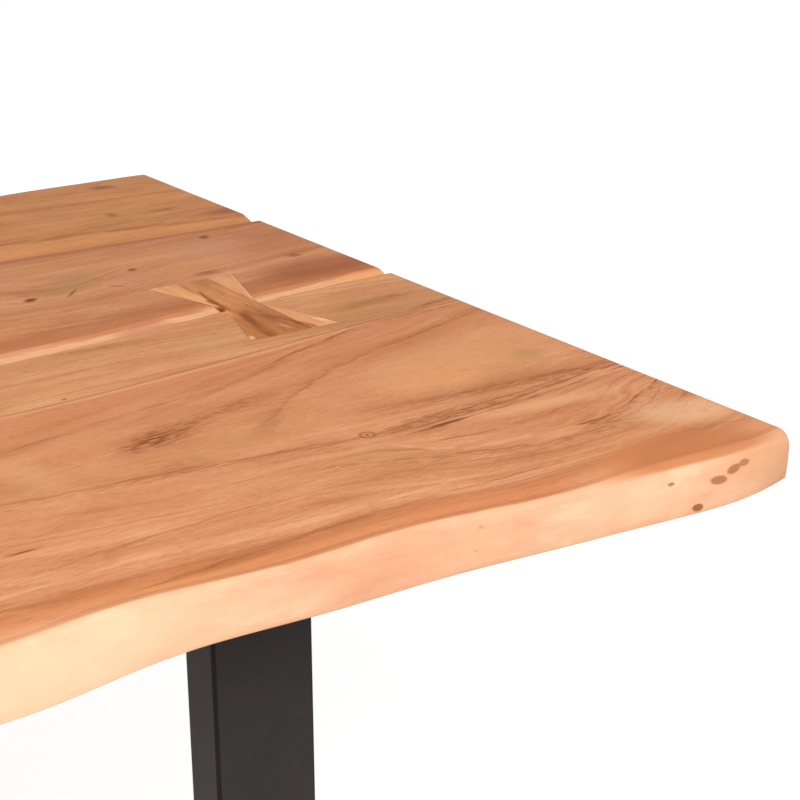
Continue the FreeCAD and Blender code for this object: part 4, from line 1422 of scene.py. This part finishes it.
def cut_rings(piece: Piece, axis: int, cuts: int) -> None:
    """Cuts a piece into slices across one axis, as loop cuts would.

    Args:
        piece: The piece, the only selected object.
        axis: 0, 1 or 2 for X, Y or Z.
        cuts: How many cuts every edge that runs that way gets.
    """
    mesh = piece.data
    deselect_mesh()
    for edge in mesh.edges:
        start, end = (mesh.vertices[i].co for i in edge.vertices)
        run = end - start
        edge.select = abs(run[axis]) > ALONG_AXIS * run.length
    bpy.ops.object.mode_set(mode="EDIT")
    bpy.ops.mesh.subdivide(number_cuts=cuts)
    bpy.ops.object.mode_set(mode="OBJECT")


def finish_piece(piece: Piece, material: Material, node: str) -> None:
    """Dresses a new piece and lets it stand for its CAD node.

    Args:
        piece: The new piece.
        material: Its finish.
        node: The CAD node that it stands for.
    """
    piece.data.materials.clear()
    piece.data.materials.append(material)
    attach(piece, BODY)
    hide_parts(node)
    log.info("%s stands for %s, %d faces", piece.name, node, len(piece.data.polygons))


def dress_node(node: str, material: Material) -> None:
    """Gives a CAD node its finish.

    Args:
        node: The node's name.
        material: The finish.
    """
    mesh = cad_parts[node].data
    mesh.materials.clear()
    mesh.materials.append(material)
    log.info("%s is finished in %s", node, material.name)


# ---------------------------------------------------------------------------------------------
# The top
# ---------------------------------------------------------------------------------------------


def wave(along: float, height: float, length: float, start: float = 0.0) -> float:
    """Gives a cosine wave that has a crest at start."""
    return height * math.cos(2 * math.pi * (along - start) / length)


def rounding(depth: float, radius: float) -> float:
    """Gives how far a quarter round stands in at a depth below its arris."""
    short = min(max(radius - depth, 0.0), radius)
    return radius - math.sqrt(radius * radius - short * short)


class Side:
    """One long side of a board, as a face that has a place across at each point along and height."""

    def y(self, along: float, height: float) -> float:
        """Gives the face's place in mm from the table's middle, at a height above the underside."""
        raise NotImplementedError

    def arris(self, along: float) -> float:
        """Gives the place of the side's top arris."""
        return self.y(along, THICK)


@dataclass
class LiveEdge(Side):
    """A live edge: two waves in plan, a lower arris that stands out, and a face worn round by hand.

    Attributes:
        line: The line that it wanders about, in mm from the table's middle.
        inward: 1 where the board lies at greater Y, or -1.
        inset: Mean distance inside the line.
        swell: Height and length of the long wave.
        ripple: Height, length and start of the short wave.
        flare: Mean overhang of the lower arris, and its waves' height, length and start.
        bulge: How far the face swells at mid height.
        arris_round: Rounding of the top arris, and how much more it is rounded at the corners.
        corner_fade: Distance over which the corners' own shape fades.
        ease: Easing of the lower arris.
        dents: Depth of the small dents that the drawknife left, and their size.
    """

    line: float
    inward: int
    inset: float
    swell: Pair
    ripple: tuple[float, float, float]
    flare: tuple[float, float, float, float]
    bulge: float = 1.5
    arris_round: Pair = (4.0, 7.0)
    corner_fade: float = 30.0
    ease: float = 1.5
    dents: Pair = (0.7, 34.0)

    def y(self, along: float, height: float) -> float:
        """Gives the face's place across.

        Args:
            along: Distance from the right-hand end, in mm.
            height: Height above the underside, in mm.

        Returns:
            The distance from the table's middle, in mm.
        """
        arris = self.inset - wave(along, *self.swell) + wave(along, *self.ripple)
        mean, wave_height, wave_length, start = self.flare
        flare = mean + wave(along, wave_height, wave_length, start)
        flare += wave(along, wave_height, 2 * wave_length, start)
        nearness = math.exp((abs(HALF_LENGTH - along) - HALF_LENGTH) / self.corner_fade)
        level = height / THICK
        inset = arris - flare * (1 - nearness) * (1 - level) - 4 * self.bulge * level * (1 - level)
        inset += rounding(THICK - height, self.arris_round[0] + self.arris_round[1] * nearness)
        inset += rounding(height, self.ease)
        depth, spacing = self.dents
        dent = noise.noise(Vector((along / spacing, height / spacing, self.line)))
        inset += depth * max(dent, 0.0) * 4 * level * (1 - level)
        return self.line + self.inward * inset


@dataclass
class Seam:
    """A seam between two boards, cut open as a groove.

    Attributes:
        distance: Mean distance of its root from the front line.
        wander: Height and length of its wander; a negative height starts it the other way.
        near_bevel: Width of the bevel on its front side.
        far_bevel: Width of the bevel on its rear side.
        depth: Depth of its root below the top face.
        wobble: How far the hand-cut bevels stray, and over what distance.
    """

    distance: float
    wander: Pair
    near_bevel: float
    far_bevel: float
    depth: float
    wobble: Pair = (0.8, 47.0)

    def root(self, along: float) -> float:
        """Gives the root's place in mm from the table's middle."""
        return FRONT + self.distance + wave(along, *self.wander)

    def bevel(self, along: float, height: float, width: float) -> float:
        """Gives how far a bevel has cut into its board.

        Args:
            along: Distance from the right-hand end, in mm.
            height: Height above the underside, in mm.
            width: The bevel's width at the top face, in mm.

        Returns:
            The distance in from the root, in mm.
        """
        rise = max(height - (THICK - self.depth), 0.0) / self.depth
        stray = self.wobble[0] * noise.noise(Vector((along / self.wobble[1], width, self.distance)))
        return (width + stray) * rise


@dataclass
class NearWall(Side):
    """The board's face on the front side of a seam.

    Attributes:
        seam: The seam.
    """

    seam: Seam

    def y(self, along: float, height: float) -> float:
        """Gives the face's place in mm from the table's middle, at a height above the underside."""
        return self.seam.root(along) - self.seam.bevel(along, height, self.seam.near_bevel)


@dataclass
class FarWall(Side):
    """The board's face on the rear side of a seam.

    Attributes:
        seam: The seam.
    """

    seam: Seam

    def y(self, along: float, height: float) -> float:
        """Gives the face's place in mm from the table's middle, at a height above the underside."""
        return self.seam.root(along) + self.seam.bevel(along, height, self.seam.far_bevel)


@dataclass
class GluedFace(Side):
    """A glued joint, upright all through, that follows a seam.

    Attributes:
        seam: The seam.
        in_front: How far in front of the seam it lies, in mm.
    """

    seam: Seam
    in_front: float

    def y(self, along: float, height: float) -> float:
        """Gives the face's place in mm from the table's middle, the same at every height."""
        return self.seam.root(along) - self.in_front


@dataclass
class Board:
    """One board of the top.

    Attributes:
        node: The CAD node that it stands for.
        near: Its front side.
        far: Its rear side.
        near_kind: What its front side is.
        far_kind: What its rear side is.
        figure: Its wood's figure.
        ease: Easing of the sawn ends.
        levels: Heights above the underside, in mm, at which its faces have a row of points.
        columns: Cuts across the top face.
        stations: Cuts along the board, in two rounds.
        sap_below: How far the sapwood shows on the underside, in mm from a live edge's lower arris.
    """

    node: str
    near: Side
    far: Side
    near_kind: Edge
    far_kind: Edge
    figure: Figure
    ease: float = 1.5
    levels: tuple[float, ...] = (
        0, 0.2, 0.7, 1.5, 6, 11, 16, 21, 25, 27, 29, 31, 33, 34.5, 36, 37, 37.6, 37.9, 38,
    )
    columns: int = 7
    stations: tuple[int, int] = (4, 99)
    sap_below: float = 9.0

    def build(self, pockets: list[Piece]) -> None:
        """Models the board, cuts the keys' pockets and dresses it.

        Args:
            pockets: The shapes to cut out of it.
        """
        low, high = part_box(self.node)
        deselect()
        bpy.ops.mesh.primitive_cube_add(size=1, location=(low + high) / 2, scale=high - low)
        board = name_new(self.node + "_wood")
        cut_rings(board, 2, len(self.levels) - 2)
        cut_rings(board, 1, self.columns)
        for cuts in self.stations:
            cut_rings(board, 0, cuts)
        self.shape(board, low, high)
        for pocket in pockets:
            cutter = board.modifiers.new(pocket.name, "BOOLEAN")
            cutter.object = pocket
            cutter.operation = "DIFFERENCE"
            cutter.solver = "EXACT"
            bpy.ops.object.modifier_apply(modifier=cutter.name)
        self.measure(board)
        bpy.ops.object.shade_smooth_by_angle(angle=math.radians(SHARP))
        finish = OiledAcacia(self.node + "_oiled_acacia", self.figure, self.near_kind, self.far_kind)
        finish_piece(board, finish.build(), self.node)

    def shape(self, board: Piece, low: Vector, high: Vector) -> None:
        """Moves the block's points out to the board's own sides and levels.

        Args:
            board: The subdivided block.
            low: The block's lowest corner.
            high: The block's highest corner.
        """
        steps = len(self.levels) - 1
        size = high - low
        for vertex in board.data.vertices:
            shares = [(vertex.co[i] - low[i]) / size[i] for i in range(3)]
            height = self.levels[round(shares[2] * steps)]
            half = HALF_LENGTH - rounding(THICK - height, self.ease) - rounding(height, self.ease)
            x = half * (2 * shares[0] - 1)
            near_y = self.near.y(HALF_LENGTH - x, height)
            far_y = self.far.y(HALF_LENGTH - x, height)
            y = near_y + (far_y - near_y) * shares[1]
            vertex.co = Vector((x, y, TOP - THICK + height)) * MM
        board.data.update()

    def measure(self, board: Piece) -> None:
        """Writes how far each point lies in from the arrises of both sides, for the finish to read.

        On the top face the distance is positive. It falls below 0 on a bevel, and by the depth on a live
        edge's face. On the underside it counts from the live edge's lower arris, less the sapwood there.

        Args:
            board: The shaped board.
        """
        values = {NEAR_SIDE: [], FAR_SIDE: []}
        for vertex in board.data.vertices:
            x, y, z = vertex.co / MM
            along = HALF_LENGTH - x
            depth = TOP - z
            for name, side, kind, sign in (
                (NEAR_SIDE, self.near, self.near_kind, 1), (FAR_SIDE, self.far, self.far_kind, -1),
            ):
                inward = sign * (y - side.arris(along))
                if kind is Edge.LIVE and depth > THICK - self.levels[1] / 2:
                    inward = sign * (y - side.y(along, 0.0)) - self.sap_below
                elif kind is Edge.LIVE:
                    inward -= depth
                values[name].append(inward)
        for name, numbers in values.items():
            attribute = board.data.attributes.new(name, "FLOAT", "POINT")
            attribute.data.foreach_set("value", numbers)


@dataclass
class ButterflyKey:
    """A butterfly key let in flush across a seam.

    Attributes:
        node: The CAD node that it stands for.
        seed: Where in the noise it is cut from.
        waist: Its width where it crosses the seam, in mm.
        arris: Bevel round its top face.
        clearance: Room round it in its pocket.
        proud: How far the pocket's cutter stands out above the top, so that it cuts clean.
    """

    node: str
    seed: int
    waist: float = 34.0
    arris: float = 0.5
    clearance: float = 0.15
    proud: float = 5.0

    def outline(self, name: str, grow: float) -> Piece:
        """Models the key's shape, grown all round.

        Args:
            name: The new object's name.
            grow: How much larger than the key it is on every side, in mm.

        Returns:
            The closed shape.
        """
        low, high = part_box(self.node)
        size = high - low + Vector((2, 2, 1)) * grow * MM
        middle = (low + high) / 2 - Vector((0, 0, grow * MM / 2))
        deselect()
        bpy.ops.mesh.primitive_cube_add(size=1, location=middle, scale=size)
        shape = name_new(name)
        cut_rings(shape, 1, 1)
        share = (self.waist / 2 + grow) * MM / (size.x / 2)
        for vertex in shape.data.vertices:
            if abs(vertex.co.y - middle.y) < MM:
                vertex.co.x = middle.x + (vertex.co.x - middle.x) * share
        return shape

    def pocket(self) -> Piece:
        """Models the cutter for the key's pocket.

        Returns:
            The closed shape, which isn't needed once the boards are cut.
        """
        cutter = self.outline(self.node + "_pocket", self.clearance)
        middle = sum(vertex.co.z for vertex in cutter.data.vertices) / len(cutter.data.vertices)
        for vertex in cutter.data.vertices:
            if vertex.co.z > middle:
                vertex.co.z += self.proud * MM
        return cutter

    def build(self) -> None:
        """Models and dresses the key."""
        key = self.outline(self.node + "_wood", 0.0)
        deselect_mesh()
        rim = {}
        for face in key.data.polygons:
            if face.normal.z > ALONG_AXIS:
                for pair in face.edge_keys:
                    rim[pair] = rim.get(pair, 0) + 1
        for edge in key.data.edges:
            edge.select = rim.get(edge.key, 0) == 1
        bpy.ops.object.mode_set(mode="EDIT")
        bpy.ops.mesh.bevel(offset=self.arris * MM, segments=2, affect="EDGES")
        bpy.ops.object.mode_set(mode="OBJECT")
        bpy.ops.object.shade_smooth_by_angle(angle=math.radians(SHARP))
        low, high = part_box(self.node)
        half_thickness = (high.z - low.z) / 2 / MM
        finish = KeyWood(
            self.node + "_oiled_acacia", (low + high) / 2, half_thickness, self.waist, self.seed
        )
        finish_piece(key, finish.build(), self.node)


@dataclass
class Top:
    """The table's top: four boards, their seams and the keys across them.

    Attributes:
        front_seam: The groove between the stave and the middle board.
        rear_seam: The groove between the middle board and the rear slab.
        stave_width: Width of the stave, in mm.
        front_edge: The front slab's live edge.
        rear_edge: The rear slab's live edge.
    """

    front_seam: Seam = field(
        default_factory=lambda: Seam(distance=478, wander=(15, 900), near_bevel=5, far_bevel=17, depth=7)
    )
    rear_seam: Seam = field(
        default_factory=lambda: Seam(distance=741, wander=(-6, 700), near_bevel=7, far_bevel=31, depth=9)
    )
    stave_width: float = 113.0
    front_edge: LiveEdge = field(
        default_factory=lambda: LiveEdge(
            line=FRONT, inward=1, inset=13, swell=(17, 1120), ripple=(3, 200, 310), flare=(7, 4, 240, 85)
        )
    )
    rear_edge: LiveEdge = field(
        default_factory=lambda: LiveEdge(
            line=REAR, inward=-1, inset=12, swell=(12, 900), ripple=(2.5, 230, 60), flare=(5, 3, 300, 120)
        )
    )

    def build(self) -> None:
        """Models and dresses the boards and keys, and the dowels inside them."""
        keys = [
            ButterflyKey(name, seed)
            for name, seed in (
                ("butterfly_key_front_right", 0), ("butterfly_key_front_left", 5), ("butterfly_key_rear", 8),
            )
        ]
        cutters = [key.pocket() for key in keys]
        front_cutters, rear_cutters = cutters[:2], cutters[2:]
        glued = GluedFace(self.front_seam, self.stave_width)
        near_front, far_front = NearWall(self.front_seam), FarWall(self.front_seam)
        near_rear, far_rear = NearWall(self.rear_seam), FarWall(self.rear_seam)
        Board("front_slab", self.front_edge, glued, Edge.LIVE, Edge.GLUED, FRONT_FIGURE).build([])
        Board("front_stave", glued, near_front, Edge.GLUED, Edge.GROOVE, STAVE_FIGURE).build(front_cutters)
        Board("middle_board", far_front, near_rear, Edge.GROOVE, Edge.GROOVE, MIDDLE_FIGURE).build(cutters)
        Board("rear_slab", far_rear, self.rear_edge, Edge.GROOVE, Edge.LIVE, REAR_FIGURE).build(rear_cutters)
        for key in keys:
            key.build()
        for cutter in cutters:
            bpy.data.objects.remove(cutter)
        beech = BEECH.build()
        for node in ("stave_joint_dowels", "front_seam_dowels", "rear_seam_dowels"):
            dress_node(node, beech)


# ---------------------------------------------------------------------------------------------
# The leg frames
# ---------------------------------------------------------------------------------------------


@dataclass
class LegFrame:
    """One welded leg frame with its fixings and levelling feet.

    Attributes:
        end: "right" or "left".
    """

    end: str

    def dress(self, coats: dict[str, Material], zinc: Material, nylon: Material) -> None:
        """Gives the frame's pieces their finishes.

        Args:
            coats: The powder coat of the flat bars, by "", and of tubes, by the axes that their faces look
                along.
            zinc: The plating of the fixings.
            nylon: The moulded pads.
        """
        for part, axes in (("top_bar", ""), ("front_post", "XY"), ("rear_post", "XY"), ("foot_rail", "XZ")):
            dress_node(f"{self.end}_{part}", coats[axes])
        for part in ("frame_bolts", "washers", "threaded_inserts", "rivet_nuts"):
            dress_node(f"{self.end}_{part}", zinc)
        for foot in ("front", "rear"):
            dress_node(f"{self.end}_{foot}_foot_stud", zinc)
            dress_node(f"{self.end}_{foot}_foot_pad", nylon)


# ---------------------------------------------------------------------------------------------
# The studio
# ---------------------------------------------------------------------------------------------


@dataclass
class Studio:
    """A pale floor, one large soft key light, an even world and the camera.

    Attributes:
        camera_place: Where the camera stands, in metres.
        camera_turn: Its tilt and turn, in degrees.
        lens: Its focal length on a 36 mm sensor.
        key_turn: The key light's bearing, in degrees to the left of straight in front.
        key_rise: Its height above the horizon, in degrees.
        key_distance: Its distance from the table's middle, in metres.
        key_size: Its side, in metres.
        key_level: How bright it makes a white surface that faces it.
        world_level: The world's share of the light on the object.
        floor_size: Side of the floor, in metres.
        floor_glow: How bright the floor is of itself where it is seen, so that it shows as white.
        floor_catch: How much more light it gives back there where no shadow lies on it.
        floor_white: How much light it gives back to the object.
    """

    camera_place: Point = (0.1252, -1.2404, 1.2063)
    camera_turn: Pair = (69.1, -35.75)
    lens: float = 74.25
    key_turn: float = 30.0
    key_rise: float = 41.0
    key_distance: float = 5.0
    key_size: float = 2.2
    key_level: float = 1.2
    world_level: float = 0.38
    floor_size: float = 60.0
    floor_glow: float = 0.85
    floor_catch: float = 0.4
    floor_white: float = 0.8

    def build(self) -> None:
        """Adds everything that isn't the object."""
        self.add_camera()
        self.add_key()
        self.add_world()
        self.add_floor()
        bpy.context.scene.view_settings.view_transform = "Standard"

    def add_camera(self) -> None:
        """Adds the camera."""
        data = bpy.data.cameras.new("camera")
        data.lens = self.lens
        data.sensor_width = 36.0
        data.clip_end = 100.0
        camera = bpy.data.objects.new("camera", data)
        camera.location = self.camera_place
        camera.rotation_euler = (math.radians(self.camera_turn[0]), 0.0, math.radians(self.camera_turn[1]))
        bpy.context.scene.collection.objects.link(camera)
        bpy.context.scene.camera = camera

    def add_key(self) -> None:
        """Adds the key light, a large square that looks at the table's middle."""
        turn, rise = math.radians(self.key_turn), math.radians(self.key_rise)
        out = math.cos(rise)
        towards = Vector((-math.sin(turn) * out, -math.cos(turn) * out, math.sin(rise)))
        middle = Vector((0, 0, TOP * MM))
        data = bpy.data.lights.new("key", "AREA")
        data.shape = "SQUARE"
        data.size = self.key_size
        # a white surface that faces a small Lambert lamp of P watts at distance d gets P / (pi d)^2
        data.energy = self.key_level * (math.pi * self.key_distance) ** 2
        lamp = bpy.data.objects.new("key", data)
        lamp.location = middle + towards * self.key_distance
        lamp.rotation_euler = (-towards).to_track_quat("-Z", "Y").to_euler()
        bpy.context.scene.collection.objects.link(lamp)

    def add_world(self) -> None:
        """Adds the world: white where it is seen, directly or in a reflection, and a plain light."""
        world = bpy.data.worlds.new("studio")
        world.use_nodes = True
        tree = world.node_tree
        tree.nodes.clear()
        level = add(tree, "MapRange", {"Value": shows_backdrop(tree), "To Min": self.world_level})
        sky = add(tree, "Background", {"Color": linear("#ffffff"), "Strength": level})
        add(tree, "OutputWorld", {"Surface": sky})
        bpy.context.scene.world = world

    def add_floor(self) -> None:
        """Adds the floor: white where it is seen, with the table's shadow on it, and clear from below."""
        deselect()
        bpy.ops.mesh.primitive_plane_add(size=self.floor_size, location=(0, 0, 0))
        floor = name_new("floor")
        material, tree = new_material("pale_studio_floor")
        glow = add(tree, "Emission", {"Color": linear("#ffffff"), "Strength": self.floor_glow})
        faint = add(tree, "BsdfDiffuse", {"Color": (*[self.floor_catch] * 3, 1.0)})
        white = add(tree, "AddShader", {0: glow, 1: faint})
        plain = add(tree, "BsdfDiffuse", {"Color": (*[self.floor_white] * 3, 1.0)})
        face = add(tree, "MixShader", {0: shows_backdrop(tree), 1: plain, 2: white})
        clear = add(tree, "BsdfTransparent")
        behind = add(tree, "NewGeometry").outputs["Backfacing"]
        both = add(tree, "MixShader", {0: behind, 1: face, 2: clear})
        add(tree, "OutputMaterial", {"Surface": both})
        floor.data.materials.append(material)


def main() -> None:
    """Builds the table's parts in order, then the studio."""
    logging.basicConfig(level=logging.INFO, format="%(name)s: %(message)s")
    Top().build()
    coats = {
        axes: replace(POWDER_COAT, name=f"{POWDER_COAT.name}_on_{piece}", corner_axes=axes).build()
        for piece, axes in (("flat_bar", ""), ("post", "XY"), ("foot_rail", "XZ"))
    }
    zinc, nylon = ZINC.build(), NYLON.build()
    for end in ("right", "left"):
        LegFrame(end).dress(coats, zinc, nylon)
    Studio().build()


if __name__ == "__main__":
    main()
